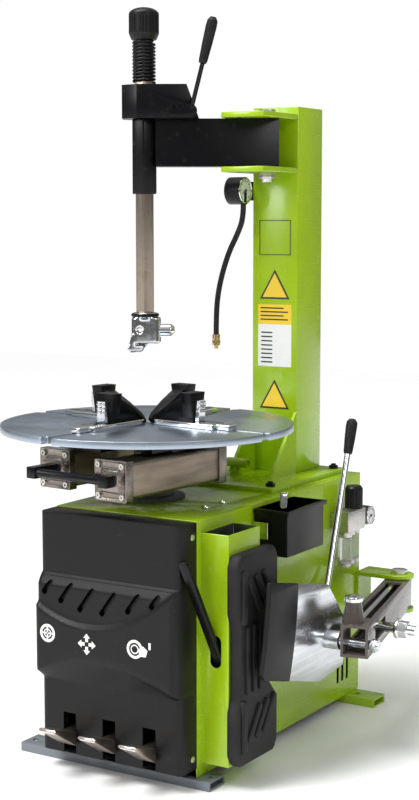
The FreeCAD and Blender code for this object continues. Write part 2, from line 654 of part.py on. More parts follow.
def jaw_slide(angle):
    """Guide bar on the disc with a key that runs in the disc's slot."""
    inner = JAW_GAP + 26.0
    half = JAW_WIDTH / 2
    z = TABLE_TOP + 0.3
    bar = block(inner, inner + JAW_SLIDE_LENGTH, -half, half, z, z + JAW_SLIDE_THICK)
    nose = block(inner + JAW_SLIDE_LENGTH - 34, inner + JAW_SLIDE_LENGTH + 1, half - 12, half + 1,
                 z - 1, z + JAW_SLIDE_THICK + 1)
    bar = bar.cut(nose).cut(nose.mirror(V(0, 0, 0), V(0, 1, 0)))
    key = block(inner + 10, inner + 90, -KEY_WIDTH / 2, KEY_WIDTH / 2, DISC_LOW + 2, z + 1)
    return place_table(bar.fuse(key), angle)


def jaw_claw(angle):
    """Ramp from the table's middle up to a flared head with a toothed pad on its outer side."""
    half = CLAW_WIDTH / 2
    z = TABLE_TOP + 0.3 + JAW_SLIDE_THICK
    floor = TABLE_TOP + 1.5
    tip = JAW_GAP
    outline = [(tip, floor), (tip + 25.5, floor), (tip + 25.5, z), (tip + 128, z), (tip + 128, z + 50),
               (tip + 98, z + 52), (tip + 10, z + 6), (tip, floor + 6)]
    ramp = front_prism(outline, -half, half)
    wedge = prism([(tip - 1, half + 1), (tip - 1, 7), (tip + 60, half + 1)], floor - 1, z + CLAW_HEIGHT)
    ramp = ramp.cut(wedge).cut(wedge.mirror(V(0, 0, 0), V(0, 1, 0)))
    head = side_prism([(-half - 1, z + 10), (half + 1, z + 10), (half + 10, z + CLAW_HEIGHT),
                       (-half - 10, z + CLAW_HEIGHT)], tip + 100, tip + 128)
    pad = block(tip + 127, tip + 140, -11, 11, z, z + 46)
    for low in (10, 22, 34):
        pad = pad.cut(block(tip + 136, tip + 141, -12, 12, z + low, z + low + 4))
    return place_table(ramp.fuse(head).fuse(pad), angle)


# ---- drive inside the cabinet ---------------------------------------------------------
def deck_flange():
    low = rod(TABLE_X, TABLE_Y, DECK_Z, 82, 6)
    high = rod(TABLE_X, TABLE_Y, DECK_Z + 6, 58, 5)
    return low.fuse(high).cut(rod(TABLE_X, TABLE_Y, DECK_Z - 1, HUB_R + 2, 20))


# the belt runs in front of the gearbox, and the motor lies under it
PULLEY_Y = TABLE_Y - 112.0
MOTOR_X = TABLE_X + 150.0
MOTOR_Z = DECK_Z - DECK_PLATE - 270.0
GEAR_Z = DECK_Z - DECK_PLATE - 95.0


def gearbox():
    z = DECK_Z - DECK_PLATE
    case = rounded(block(TABLE_X - 78, TABLE_X + 78, TABLE_Y - 84, TABLE_Y + 90, z - 130, z), 20)
    stub = rod(TABLE_X, PULLEY_Y - 10, GEAR_Z, 13, TABLE_Y - 84 - PULLEY_Y + 11, (0, 1, 0))
    case = case.fuse(stub).cut(rod(TABLE_X, TABLE_Y, z - 80, HUB_R + RUNNING, 100))
    return solids(case, deck_flange())


def motor():
    body = rod(MOTOR_X, PULLEY_Y + 40, MOTOR_Z, 62, 180, (0, 1, 0))
    hood = rod(MOTOR_X, PULLEY_Y + 220, MOTOR_Z, 58, 24, (0, 1, 0))
    shaft = rod(MOTOR_X, PULLEY_Y - 10, MOTOR_Z, 10, 52, (0, 1, 0))
    shelf = block(MOTOR_X - 60, CABINET_RIGHT - SHEET, PULLEY_Y + 60, PULLEY_Y + 200,
                  MOTOR_Z - 74, MOTOR_Z - 60)
    return body.fuse(hood).fuse(shaft).fuse(shelf)


def drive_belt():
    """Flat loop round both pulleys, in the plane across the cabinet."""
    r_gear, r_motor = 42.0, 22.0
    loops = []
    for grow in (3.0, 0.2):
        big = rod(TABLE_X, PULLEY_Y - 6, GEAR_Z, r_gear + grow, 12, (0, 1, 0))
        small = rod(MOTOR_X, PULLEY_Y - 6, MOTOR_Z, r_motor + grow, 12, (0, 1, 0))
        dx, dz = MOTOR_X - TABLE_X, MOTOR_Z - GEAR_Z
        span = math.hypot(dx, dz)
        along = math.atan2(dz, dx)
        lean = math.acos((r_gear - r_motor) / span)
        points = []
        for x, z, r, sign in ((TABLE_X, GEAR_Z, r_gear + grow, 1), (MOTOR_X, MOTOR_Z, r_motor + grow, 1),
                              (MOTOR_X, MOTOR_Z, r_motor + grow, -1), (TABLE_X, GEAR_Z, r_gear + grow, -1)):
            a = along + sign * lean
            points.append((x + r * math.cos(a), z + r * math.sin(a)))
        loops.append(front_prism(points, PULLEY_Y - 6, PULLEY_Y + 6).fuse(big).fuse(small))
    return loops[0].cut(loops[1])


def pulley(x, z, radius, bore):
    wheel = rod(x, PULLEY_Y - 7, z, radius, 14, (0, 1, 0))
    return wheel.cut(rod(x, PULLEY_Y - 8, z, bore, 16, (0, 1, 0)))


# ---- wheel support, tray, tyre lever --------------------------------------------------
def wheel_support():
    rear = SUPPORT_FRONT + SUPPORT_DEPTH
    body = block(SUPPORT_LEFT, SUPPORT_RIGHT, SUPPORT_FRONT, rear, SUPPORT_LOW, SUPPORT_HIGH)
    body = body.cut(block(SUPPORT_LEFT + 3, SUPPORT_RIGHT - 3, SUPPORT_FRONT + 3, rear - 3,
                          SUPPORT_LOW + 3, SUPPORT_HIGH + 1))
    # an upright round-ended slot in the front wall takes the tip of the tyre lever
    slot = block(SLOT_X - SLOT_R, SLOT_X + SLOT_R, SUPPORT_FRONT - 1, SUPPORT_FRONT + 4, SLOT_LOW, SLOT_HIGH)
    for z in (SLOT_LOW, SLOT_HIGH):
        slot = slot.fuse(rod(SLOT_X, SUPPORT_FRONT - 1, z, SLOT_R, 5, (0, 1, 0)))
    return body.cut(slot)


def support_pad():
    x0 = SUPPORT_RIGHT
    y0 = SUPPORT_FRONT - 12
    y1 = y0 + PAD_WIDTH
    z0, z1 = PAD_LOW, PAD_LOW + PAD_HEIGHT
    notch = 52.0
    outline = [(y0 + 14, z0), (y1 - 14, z0), (y1, z0 + 24), (y1, z0 + PAD_HEIGHT * 0.27),
               (y1 - notch, z0 + PAD_HEIGHT * 0.40), (y1 - notch, z0 + PAD_HEIGHT * 0.60),
               (y1, z0 + PAD_HEIGHT * 0.74), (y1, z1 - 24), (y1 - 14, z1), (y0 + 14, z1),
               (y0, z1 - 24), (y0, z0 + PAD_HEIGHT * 0.72), (y0 + 12, z0 + PAD_HEIGHT * 0.66),
               (y0 + 12, z0 + PAD_HEIGHT * 0.32), (y0, z0 + PAD_HEIGHT * 0.26), (y0, z0 + 24)]
    return side_prism(outline, x0, x0 + PAD_THICK)


def tool_tray():
    x0, x1 = CABINET_RIGHT + 4, CABINET_RIGHT + 4 + TRAY_WIDTH
    y0, y1 = TRAY_FRONT, TRAY_FRONT + TRAY_DEPTH
    low = TRAY_TOP - TRAY_HEIGHT
    body = block(x0, x1, y0, y1, low, TRAY_TOP)
    body = body.fuse(block(x0, x1 + 6, y0 - 6, y1 + 6, TRAY_TOP - 10, TRAY_TOP))
    wall = TRAY_WALL
    middle = (y0 + y1) / 2
    for a, b in ((y0 + wall, middle - wall / 2), (middle + wall / 2, y1 - wall)):
        body = body.cut(block(x0 + wall, x1 - wall, a, b, low + wall, TRAY_TOP + 1))
    hook = block(CABINET_RIGHT, x0, y0 + 20, y1 - 20, low + 20, TRAY_TOP - 20)
    return body.fuse(hook)


def tyre_lever():
    """Flat forged bar with a rounded, thinned tip and a rounded end."""
    low, high = V(SLOT_X, 0, 0) + V(*LEVER_TIP), V(SLOT_X, 0, 0) + V(*LEVER_END)
    way = high.sub(low)
    half = LEVER_WIDTH / 2
    bar = block(-half, half, -LEVER_THICK / 2, LEVER_THICK / 2, 0, way.Length)
    for z in (0, way.Length):
        bar = bar.fuse(rod(0, -LEVER_THICK / 2, z, half, LEVER_THICK, (0, 1, 0)))
    thin = side_prism([(0.5, -half - 1), (0.5, 0), (LEVER_THICK / 2 + 1, 60), (LEVER_THICK / 2 + 1, -half - 1)],
                      -half - 1, half + 1)
    bar = bar.cut(thin)
    bar.Placement = FreeCAD.Placement(low, FreeCAD.Rotation(V(0, 0, 1), way))
    return bar


# ---- bead breaker ---------------------------------------------------------------------
def place_breaker(shape):
    """Drawn along -Y from its pivot at the origin, then swung out and moved."""
    return moved(turned(shape, BREAKER_ANGLE, 0, 0), BREAKER_PIVOT_X, BREAKER_PIVOT_Y)


BREAKER_HIGH = BREAKER_LOW + BREAKER_HEIGHT
BRACKET_PLATES = (BREAKER_LOW - 0.5 - BREAKER_PLATE, BREAKER_HIGH + 0.5)


def breaker_bracket():
    plates = []
    for low in BRACKET_PLATES:
        plate = block(CABINET_RIGHT, BREAKER_PIVOT_X, BREAKER_PIVOT_Y - 36, BREAKER_PIVOT_Y + 36,
                      low, low + BREAKER_PLATE)
        plate = plate.fuse(rod(BREAKER_PIVOT_X, BREAKER_PIVOT_Y, low, 36, BREAKER_PLATE))
        plates.append(plate.cut(rod(BREAKER_PIVOT_X, BREAKER_PIVOT_Y, low - 1, BREAKER_PIN_R, 40)))
    web = block(CABINET_RIGHT, CABINET_RIGHT + 8, BREAKER_PIVOT_Y - 36, BREAKER_PIVOT_Y + 36,
                BRACKET_PLATES[0], BRACKET_PLATES[1] + BREAKER_PLATE)
    return plates[0].fuse(plates[1]).fuse(web)


def breaker_pin():
    low, high = BRACKET_PLATES[0] - 8, BRACKET_PLATES[1] + BREAKER_PLATE
    pin = rod(BREAKER_PIVOT_X, BREAKER_PIVOT_Y, low, BREAKER_PIN_R, high - low)
    return pin.fuse(hexagon(36, high, high + 10, BREAKER_PIVOT_X, BREAKER_PIVOT_Y))


def arm_point(y):
    """X of the breaker arm's centre line where it passes a given Y."""
    return BREAKER_PIVOT_X + (BREAKER_PIVOT_Y - y) * math.tan(math.radians(BREAKER_ANGLE))


def breaker_arm():
    half = BREAKER_WIDTH / 2
    body = block(-half, half, -BREAKER_LENGTH, 0, BREAKER_LOW, BREAKER_HIGH)
    body = body.fuse(rod(0, 0, BREAKER_LOW, half, BREAKER_HEIGHT))
    hollow = block(-half + BREAKER_WALL, half - BREAKER_WALL, -BREAKER_LENGTH - 1, -half,
                   BREAKER_LOW + BREAKER_WALL, BREAKER_HIGH - BREAKER_WALL)
    # the pull rod crosses further out along the arm as the arm opens
    near = (BREAKER_PIVOT_Y - ROD_Y) / math.cos(math.radians(BREAKER_ANGLE)) - 25
    far = (BREAKER_PIVOT_Y - ROD_Y) / math.cos(math.radians(BREAKER_ANGLE + BREAKER_OPENING)) + 36
    window = block(-half - 1, half + 1, -far, -near, BREAKER_MID_Z - 17, BREAKER_MID_Z + 17)
    # the channel is open on top, and an adjusting rod runs along it under the opening
    top = block(-half + 11, half - 11, -405, -54, BREAKER_HIGH - 10, BREAKER_HIGH + 1)
    strut = rod(-7, -412, BREAKER_HIGH - 13, 8, 386, (0, 1, 0))
    body = body.cut(hollow).cut(window).cut(top).fuse(strut)
    body = body.cut(rod(0, 0, BREAKER_LOW - 1, BREAKER_PIN_R + RUNNING, 90))
    arm = place_breaker(body)
    # a cast knuckle with a bolt head stands on the arm's front end
    knuckle = Part.makeCone(25, 17, KNUCKLE_HIGH - BREAKER_HIGH + 2, V(KNUCKLE_X, KNUCKLE_Y, BREAKER_HIGH - 2))
    knuckle = knuckle.fuse(rod(KNUCKLE_X, KNUCKLE_Y, KNUCKLE_HIGH, 20, 11))
    arm = arm.fuse(knuckle)
    return arm.cut(rod(BLADE_X, HINGE_Y, HINGE_Z, HINGE_R + RUNNING, 200, (1, 0, 0)))


def breaker_rod():
    x0 = CABINET_RIGHT - 60
    bar = rod(x0, ROD_Y, BREAKER_MID_Z, ROD_R, ROD_END - x0, (1, 0, 0))
    washer = rod(ROD_END - 46, ROD_Y, BREAKER_MID_Z, 22, 8, (1, 0, 0))
    nut = hexagon(34, 0, 20)
    nut = aim(nut, (-1, 0, 0), (ROD_END - 38, ROD_Y, BREAKER_MID_Z))
    return bar.fuse(washer).fuse(nut)


def breaker_cylinder():
    x1 = CABINET_RIGHT - SHEET - 2
    x0 = x1 - 290
    drum = rod(x0, ROD_Y, BREAKER_MID_Z, 82, x1 - x0, (1, 0, 0))
    return drum.cut(rod(x1 - 230, ROD_Y, BREAKER_MID_Z, ROD_R + 2, 260, (1, 0, 0)))


def breaker_blade():
    """Curved sheet with a hinge boss to the arm and a spine on its inner side."""
    x_back = BLADE_X
    centre_x = x_back - BLADE_RADIUS
    width = BLADE_REAR - BLADE_FRONT
    length = width + 2
    ring = rod(centre_x, BLADE_FRONT - 1, BLADE_TANGENT_Z, BLADE_RADIUS, length, (0, 1, 0))
    ring = ring.cut(rod(centre_x, BLADE_FRONT - 1, BLADE_TANGENT_Z, BLADE_RADIUS - BLADE_THICK, length, (0, 1, 0)))
    drop = BLADE_HIGH - BLADE_LOW
    outline = [(BLADE_FRONT + 17, BLADE_HIGH), (BLADE_REAR - 108, BLADE_HIGH - 50), (BLADE_REAR - 18, BLADE_HIGH - 146),
               (BLADE_REAR, BLADE_LOW + 12), (BLADE_REAR - 110, BLADE_LOW), (BLADE_FRONT + 10, BLADE_LOW + 69),
               (BLADE_FRONT, BLADE_LOW + 82)]
    sheet = ring.common(side_prism(outline, x_back - drop, x_back + 5))
    boss_end = arm_point(HINGE_Y) - BREAKER_WIDTH / 2 / math.cos(math.radians(BREAKER_ANGLE)) - 5
    boss = rod(BLADE_X - 14, HINGE_Y, HINGE_Z, 20, boss_end - BLADE_X + 14, (1, 0, 0))
    spine = block(BLADE_X - 32, BLADE_X - 10, HINGE_Y - 21, HINGE_Y + 23, HINGE_Z - 18, SPINE_HIGH)
    pin_end = arm_point(HINGE_Y) + BREAKER_WIDTH / 2 / math.cos(math.radians(BREAKER_ANGLE)) + 24
    pin = rod(BLADE_X - 4, HINGE_Y, HINGE_Z, HINGE_R, pin_end - BLADE_X + 4, (1, 0, 0))
    nut = aim(hexagon(26, 0, 14), (-1, 0, 0), (pin_end - 18, HINGE_Y, HINGE_Z))
    return sheet.fuse(boss).fuse(spine).fuse(pin).fuse(nut)


LEVER_FOOT = (BLADE_X - 18, HINGE_Y + 23, HINGE_Z + 117)
LEVER_TOP = (BLADE_X - 18, HINGE_Y + 118, 666.0)


def lever_part(start, end, low_r, high_r):
    """A round, perhaps tapered bar between two shares of the blade lever's line."""
    a, b = V(*LEVER_FOOT), V(*LEVER_TOP)
    way = b.sub(a)
    place = a.add(V(way).multiply(start))
    length = way.Length * (end - start)
    if abs(low_r - high_r) < 1e-6:
        return Part.makeCylinder(low_r, length, place, way)
    return Part.makeCone(low_r, high_r, length, place, way)


def blade_lever():
    middle = LEVER_FOOT[1] - 17
    foot = block(LEVER_FOOT[0] - 8, LEVER_FOOT[0] + 7, middle - 13, middle + 13, SPINE_HIGH, SPINE_HIGH + 18)
    return lever_part(-0.18, 1.0, LEVER_R, LEVER_R).fuse(foot)


def blade_grip():
    grip = lever_part(0.94, 1.16, 11.0, 13.5).fuse(lever_part(1.16, 1.20, 13.5, 9.0))
    return grip.cut(lever_part(0.0, 1.0, LEVER_R, LEVER_R))


# ---- pedals ---------------------------------------------------------------------------
def pedal(index):
    x = pedal_x(index)
    half = PEDAL_ARM / 2
    z = PEDAL_PIVOT_Z
    arm = block(x - half, x + half, -430, PEDAL_PIVOT_Y + 20, z - 18, z)
    boss = rod(x - half, PEDAL_PIVOT_Y, z - 9, 16, PEDAL_ARM, (1, 0, 0))
    plate_half = PEDAL_PLATE / 2
    plate = side_prism([(PEDAL_REAR_Y, z), (PEDAL_REAR_Y, z - 30), (PEDAL_TIP_Y + 6, z + 12), (PEDAL_TIP_Y, z + 16),
                        (PEDAL_TIP_Y + 2, z + 20), (PEDAL_TIP_Y + 8, z + 20)],
                       x - plate_half, x + plate_half)
    body = arm.fuse(boss).fuse(plate)
    return body.cut(rod(x - 40, PEDAL_PIVOT_Y, z - 9, PEDAL_PIN_R + RUNNING, 80, (1, 0, 0)))


def pedal_shaft():
    x0, x1 = CABINET_LEFT + SHEET, CABINET_RIGHT - SHEET
    shaft = rod(x0, PEDAL_PIVOT_Y, PEDAL_PIVOT_Z - 9, PEDAL_PIN_R, x1 - x0, (1, 0, 0))
    for x in (x0, x1 - 6):
        shaft = shaft.fuse(rod(x, PEDAL_PIVOT_Y, PEDAL_PIVOT_Z - 9, 20, 6, (1, 0, 0)))
    return shaft


# ---- air preparation unit and gauges ---------------------------------------------------
AIR_X = CABINET_RIGHT + 34.0
AIR_Z = 440.0


def air_head():
    body = rounded(block(AIR_X - 20, AIR_X + 22, 212, 300, AIR_Z, AIR_Z + 48), 6)
    plate = block(CABINET_RIGHT, AIR_X - 20, 222, 290, AIR_Z + 6, AIR_Z + 42)
    return body.fuse(plate)


def air_bowls():
    bowl = rod(AIR_X, 232, AIR_Z - 78, 16, 78)
    bowl = bowl.fuse(Part.makeCone(8, 16, 10, V(AIR_X, 232, AIR_Z - 88)))
    tubes = [rod(AIR_X, y, AIR_Z - 84, 9, 84) for y in (264, 288)]
    return solids(bowl, *tubes)


def regulator_knob():
    knob = rod(AIR_X, 278, AIR_Z + 48.3, 21, 44)
    return knob.fuse(Part.makeCone(21, 17, 8, V(AIR_X, 278, AIR_Z + 92.3)))


def air_gauge():
    body = rod(AIR_X - 8, 324, AIR_Z + 24, 22, 26, (1, 0, 0))
    neck = rod(AIR_X, 300, AIR_Z + 24, 7, 8, (0, 1, 0))
    return body.fuse(neck)


def gauge_body():
    x0 = COLUMN_X - COLUMN_SIDE / 2
    body = rod(x0 - 40, GAUGE_Y, GAUGE_Z, GAUGE_R, 34, (1, 0, 0))
    rim = rod(x0 - 6, GAUGE_Y, GAUGE_Z, GAUGE_R, 5, (1, 0, 0))
    rim = rim.cut(rod(x0 - 7, GAUGE_Y, GAUGE_Z, GAUGE_R - 4, 8, (1, 0, 0)))
    holder = block(x0 - 26, x0 - 20, GAUGE_Y + 10, COLUMN_FRONT + 24, GAUGE_Z - 22, GAUGE_Z + 22)
    holder = holder.fuse(block(x0 - 26, x0, COLUMN_FRONT + 16, COLUMN_FRONT + 24, GAUGE_Z - 22, GAUGE_Z + 22))
    neck = rod(HOSE_POINTS[0][0], GAUGE_Y, HOSE_POINTS[0][2], 8, GAUGE_Z - HOSE_POINTS[0][2] - 4)
    dial = rod(x0 - 6, GAUGE_Y, GAUGE_Z, GAUGE_R - 4.2, 2.5, (1, 0, 0))
    return solids(body.fuse(rim).fuse(neck).fuse(holder), dial)


# ---- inflation hose: straight runs joined by tangent arcs -----------------------------
def hose_wire(points):
    """Edges of the hose's centre line, with its bend radii."""
    pts = [V(*p) for p in points]
    edges, radii, last = [], [], pts[0]
    for before, corner, after in zip(pts, pts[1:], pts[2:]):
        a, b = before.sub(corner), after.sub(corner)
        shorter = min(a.Length, b.Length)
        turn = math.pi - a.getAngle(b)
        radius = 0.45 * shorter / math.tan(turn / 2)
        a.normalize()
        b.normalize()
        reach = 0.45 * shorter
        start, end = corner.add(V(a).multiply(reach)), corner.add(V(b).multiply(reach))
        bisector = a.add(b)
        bisector.normalize()
        middle = corner.add(V(bisector).multiply(radius / math.cos(turn / 2) - radius))
        edges.append(Part.LineSegment(last, start).toShape())
        edges.append(Part.Arc(start, middle, end).toShape())
        radii.append(radius)
        last = end
    edges.append(Part.LineSegment(last, pts[-1]).toShape())
    return Part.Wire(edges), radii


def inflation_hose():
    wire, radii = hose_wire(HOSE_POINTS)
    way = V(*HOSE_POINTS[1]).sub(V(*HOSE_POINTS[0]))
    ring = Part.Wire(Part.makeCircle(HOSE_R, V(*HOSE_POINTS[0]), way))
    tube = wire.makePipeShell([ring], True, False)
    expected = math.pi * HOSE_R ** 2 * wire.Length
    print("hose radii", [round(r) for r in radii], "length", round(wire.Length, 1),
          "volume ratio", round(tube.Volume / expected, 4))
    return tube


def hose_end():
    x, y, z = HOSE_POINTS[-1]
    nipple = rod(x, y, z - 14, 9, 14).fuse(hexagon(17, z - 26, z - 14, x, y))
    return nipple.fuse(rod(x, y, z - 34, 5, 8))


# ---- write every node -----------------------------------------------------------------
def main():
    os.makedirs("parts", exist_ok=True)
    save("front_foot", foot(-ANCHOR_Y / 2, 0.0))
    save("rear_foot", foot(ANCHOR_Y / 2, REAR_FOOT_EXTRA))
    save("cabinet_shell", cabinet_shell())
    save("front_cover", front_cover())
    save("cover_screws", cover_screws())
    save("column", column())
    save("column_base", column_base())
    save("column_bolts", column_bolts())
    save("arm_bracket", arm_bracket())
    save("arm_pivot", arm_pivot())
    save("swing_arm", swing_arm())
    save("arm_sleeve", arm_sleeve())
    save("clamp_block", clamp_block())
    save("lock_lever", lock_lever())
    save("lock_grip", lock_grip())
    save("hex_shaft", hex_shaft())
    save("shaft_cap", shaft_cap())
    save("return_spring", return_spring())
    save("mount_head", mount_head())
    save("head_roller", head_roller())
    save("turntable_disc", turntable_disc())
    save("table_hub", table_hub())
    save("table_frame", table_frame())
    save("cylinder_bodies", cylinder_bodies())
    save("cylinder_caps", cylinder_caps())
    for jaw in range(JAW_COUNT):
        save("jaw_slide_%d" % (jaw + 1), jaw_slide(90.0 * jaw))
        save("jaw_claw_%d" % (jaw + 1), jaw_claw(90.0 * jaw))
    save("gearbox", gearbox())
    save("motor", motor())
    save("drive_belt", drive_belt())
    save("gear_pulley", pulley(TABLE_X, GEAR_Z, 42.0, 13.0 + RUNNING))
    save("motor_pulley", pulley(MOTOR_X, MOTOR_Z, 22.0, 10.0 + RUNNING))
    save("wheel_support", wheel_support())
    save("support_pad", support_pad())
    save("tool_tray", tool_tray())
    save("tyre_lever", tyre_lever())
    save("breaker_bracket", breaker_bracket())
    save("breaker_pin", breaker_pin())
    save("breaker_arm", breaker_arm())
    save("breaker_rod", breaker_rod())
    save("breaker_cylinder", breaker_cylinder())
    save("breaker_blade", breaker_blade())
    save("blade_lever", blade_lever())
    save("blade_grip", blade_grip())
    for index in range(PEDAL_COUNT):
        save("pedal_%d" % (index + 1), pedal(index))
    save("pedal_shaft", pedal_shaft())
    save("air_head", solids(air_head(), air_gauge()))
    save("air_bowls", air_bowls())
    save("regulator_knob", regulator_knob())
    save("gauge_body", gauge_body())
    save("inflation_hose", inflation_hose())
    save("hose_end", hose_end())


main()
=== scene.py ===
import json
import math

import bpy
from mathutils import Matrix, Vector


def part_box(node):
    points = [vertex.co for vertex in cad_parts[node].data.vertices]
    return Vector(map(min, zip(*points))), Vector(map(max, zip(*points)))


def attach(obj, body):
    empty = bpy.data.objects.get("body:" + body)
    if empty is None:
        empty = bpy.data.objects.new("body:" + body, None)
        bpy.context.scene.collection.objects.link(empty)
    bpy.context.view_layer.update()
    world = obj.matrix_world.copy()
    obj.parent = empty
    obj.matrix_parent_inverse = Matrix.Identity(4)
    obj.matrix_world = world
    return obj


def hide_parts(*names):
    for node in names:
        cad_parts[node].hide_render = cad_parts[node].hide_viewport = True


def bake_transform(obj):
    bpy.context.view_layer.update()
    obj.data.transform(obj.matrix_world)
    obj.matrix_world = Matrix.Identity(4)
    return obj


bl_info = {
    "name": "Tyre changer looks",
    "version": (1, 0, 0),
    "blender": (4, 5, 0),
    "location": "3D View > Sidebar > Tyre changer",
    "description": "Detailed pieces and finishes for a swing-arm tyre changer",
    "category": "Object",
}

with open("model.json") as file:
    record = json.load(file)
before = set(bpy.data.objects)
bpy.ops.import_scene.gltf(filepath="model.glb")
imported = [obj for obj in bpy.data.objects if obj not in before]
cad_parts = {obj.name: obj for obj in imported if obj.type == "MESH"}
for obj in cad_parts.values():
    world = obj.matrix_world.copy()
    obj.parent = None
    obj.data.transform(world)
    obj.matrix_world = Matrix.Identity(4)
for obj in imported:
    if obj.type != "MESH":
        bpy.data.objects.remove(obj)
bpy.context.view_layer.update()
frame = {"nodes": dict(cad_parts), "record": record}
RECORD = frame["record"]
NODE_BODY = {node: body for body, nodes in RECORD["behaviour"]["bodies"].items() for node in nodes}
NODE_SLOT = {part["node"]: part["material_slot"] for part in RECORD["subparts"]}
MM = 0.001
WELD = 0.00001                      # vertices closer than this are one
FLAT_ANGLE = math.radians(0.6)      # faces that differ by less are one


# ---- shader maths ---------------------------------------------------------------------
class Socket:
    """One output of a material node, with the arithmetic that adds further nodes."""

    def __init__(self, tree, link=None):
        self.tree = tree
        self.link = link

    def put(self, target, value):
        """Link or write a value into a socket."""
        if isinstance(value, Socket):
            self.tree.links.new(value.link, target)
        else:
            target.default_value = value

    def node(self, kind, settings=None, inputs=None, output=0):
        """Add any node: its settings first, then its sockets."""
        made = self.tree.nodes.new(kind)
        for name, value in (settings or {}).items():
            setattr(made, name, value)
        for name, value in (inputs or {}).items():
            self.put(made.inputs[name], value)
        return Socket(self.tree, made.outputs[output])

    def maths(self, operation, *values):
        return self.node("ShaderNodeMath", {"operation": operation}, dict(enumerate(values)))

    def __add__(self, other):
        return self.maths("ADD", self, other)

    def __radd__(self, other):
        return self.maths("ADD", other, self)

    def __sub__(self, other):
        return self.maths("SUBTRACT", self, other)

    def __rsub__(self, other):
        return self.maths("SUBTRACT", other, self)

    def __mul__(self, other):
        return self.maths("MULTIPLY", self, other)

    def __rmul__(self, other):
        return self.maths("MULTIPLY", other, self)

    def __truediv__(self, other):
        return self.maths("DIVIDE", self, other)

    def between(self, low, high):
        """0 below low, 1 above high, smooth in between."""
        return self.node("ShaderNodeMapRange", {"interpolation_type": "SMOOTHSTEP"},
                         {"Value": self, "From Min": low, "From Max": high})

    def noise(self, scale, detail=3.0, rough=0.55):
        """A noise value read at this place."""
        return self.node("ShaderNodeTexNoise", None,
                         {"Vector": self, "Scale": scale, "Detail": detail, "Roughness": rough})

    def stretched(self, factors, centre=(0.0, 0.0, 0.0)):
        """This place with each axis scaled about a centre."""
        shift = tuple(-c * f for c, f in zip(centre, factors))
        return self.node("ShaderNodeMapping", None,
                         {"Vector": self, "Scale": factors, "Location": shift})

    def mix(self, colour_a, colour_b):
        """Colour a where this is 0, colour b where it is 1."""
        return self.node("ShaderNodeMix", {"data_type": "RGBA"},
                         {"Factor": self, 6: colour_a, 7: colour_b}, output=2)

    def bump(self, depth, strength=1.0):
        """A normal from this height, in metres at full height."""
        return self.node("ShaderNodeBump", None,
                         {"Height": self, "Distance": depth, "Strength": strength})


def rgba(colour, factor=1.0):
    return (colour[0] * factor, colour[1] * factor, colour[2] * factor, 1.0)


def start_material(name, fixed=None):
    """A new principled material: the material, its shader node and the object's coordinates."""
    material = bpy.data.materials.new(name)
    material.use_nodes = True
    tree = material.node_tree
    shader = tree.nodes["Principled BSDF"]
    for socket, value in (fixed or {}).items():
        shader.inputs[socket].default_value = value
    return material, shader, Socket(tree).node("ShaderNodeTexCoord", output="Object")


def dress(shader, place, **inputs):
    """Connect varying values to the shader."""
    for name, value in inputs.items():
        place.put(shader.inputs[name.replace("_", " ")], value)


def powder_coat(name, colour, gloss=0.32, peel=1.0, coat=0.35, shine=0.5):
    """Sprayed enamel: orange peel, slow tone drift, dust and fine rubs."""
    material, shader, place = start_material(name, {"Coat Weight": coat, "Coat Roughness": 0.12,
                                                     "Specular IOR Level": shine})
    tone = place.noise(3.2, 4.0).between(0.35, 0.68)
    dust = place.noise(46.0, 6.0, 0.7).between(0.56, 0.78)
    rubs = place.stretched((5.0, 5.0, 90.0)).noise(2.4, 5.0).between(0.60, 0.72)
    base = tone.mix(rgba(colour, 0.90), rgba(colour, 1.07))
    base = (dust * 0.05).mix(base, rgba((0.4, 0.4, 0.36)))
    fine = place.noise(520.0, 2.0)
    coarse = place.noise(190.0, 2.0)
    height = fine * 0.4 + coarse * 0.6
    dress(shader, place, Base_Color=base, Roughness=gloss + dust * 0.14 + rubs * 0.10,
          Normal=height.bump(0.00018 * peel, 0.35))
    return material


def coat_with_painted_shade(name, colour):
    """Enamel with painted shade: near-black on the walls inside the cabinet and the wheel support, where
    little light reaches.
    """
    material = powder_coat(name, colour, 0.25)
    tree = material.node_tree
    shader = tree.nodes["Principled BSDF"]
    place = Socket(tree).node("ShaderNodeTexCoord", output="Object")
    inside = None
    for low, high in (CABINET_HOLLOW, SUPPORT_HOLLOW):
        box = None
        for axis in range(3):
            value = place.node("ShaderNodeSeparateXYZ", None, {0: place}, output=axis)
            within = (value.maths("GREATER_THAN", value, low[axis])
                      * value.maths("LESS_THAN", value, high[axis]))
            box = within if box is None else box * within
        inside = box if inside is None else inside + box
    painted = Socket(tree, shader.inputs["Base Color"].links[0].from_socket)
    # Painted shade: a near-black green for the inner walls, standing for the shade inside the hollows.
    painted_inner_shade = place.noise(30.0, 4.0).between(0.3, 0.7).mix(rgba((0.006, 0.009, 0.003)),
                                                          rgba((0.018, 0.022, 0.010)))
    dress(shader, place, Base_Color=inside.mix(painted, painted_inner_shade))
    return material


def moulded_plastic(name, colour, grain=900.0, rough=0.45):
    """Moulded plastic or powder: a leathery fine grain with scuffs."""
    material, shader, place = start_material(name, {"Specular IOR Level": 0.26})
    cells = place.node("ShaderNodeTexVoronoi", None, {"Vector": place, "Scale": grain},
                       output="Distance")
    tone = place.noise(5.0, 4.0).between(0.3, 0.7)
    scuff = place.stretched((30.0, 30.0, 140.0)).noise(1.4, 6.0).between(0.62, 0.75)
    base = tone.mix(rgba(colour, 0.85), rgba(colour, 1.25))
    base = (scuff * 0.20).mix(base, rgba((0.07, 0.07, 0.07)))
    height = cells * 0.7 + place.noise(260.0, 3.0) * 0.3
    dress(shader, place, Base_Color=base, Roughness=rough + tone * 0.08 - scuff * 0.10,
          Normal=height.bump(0.00022, 0.5))
    return material


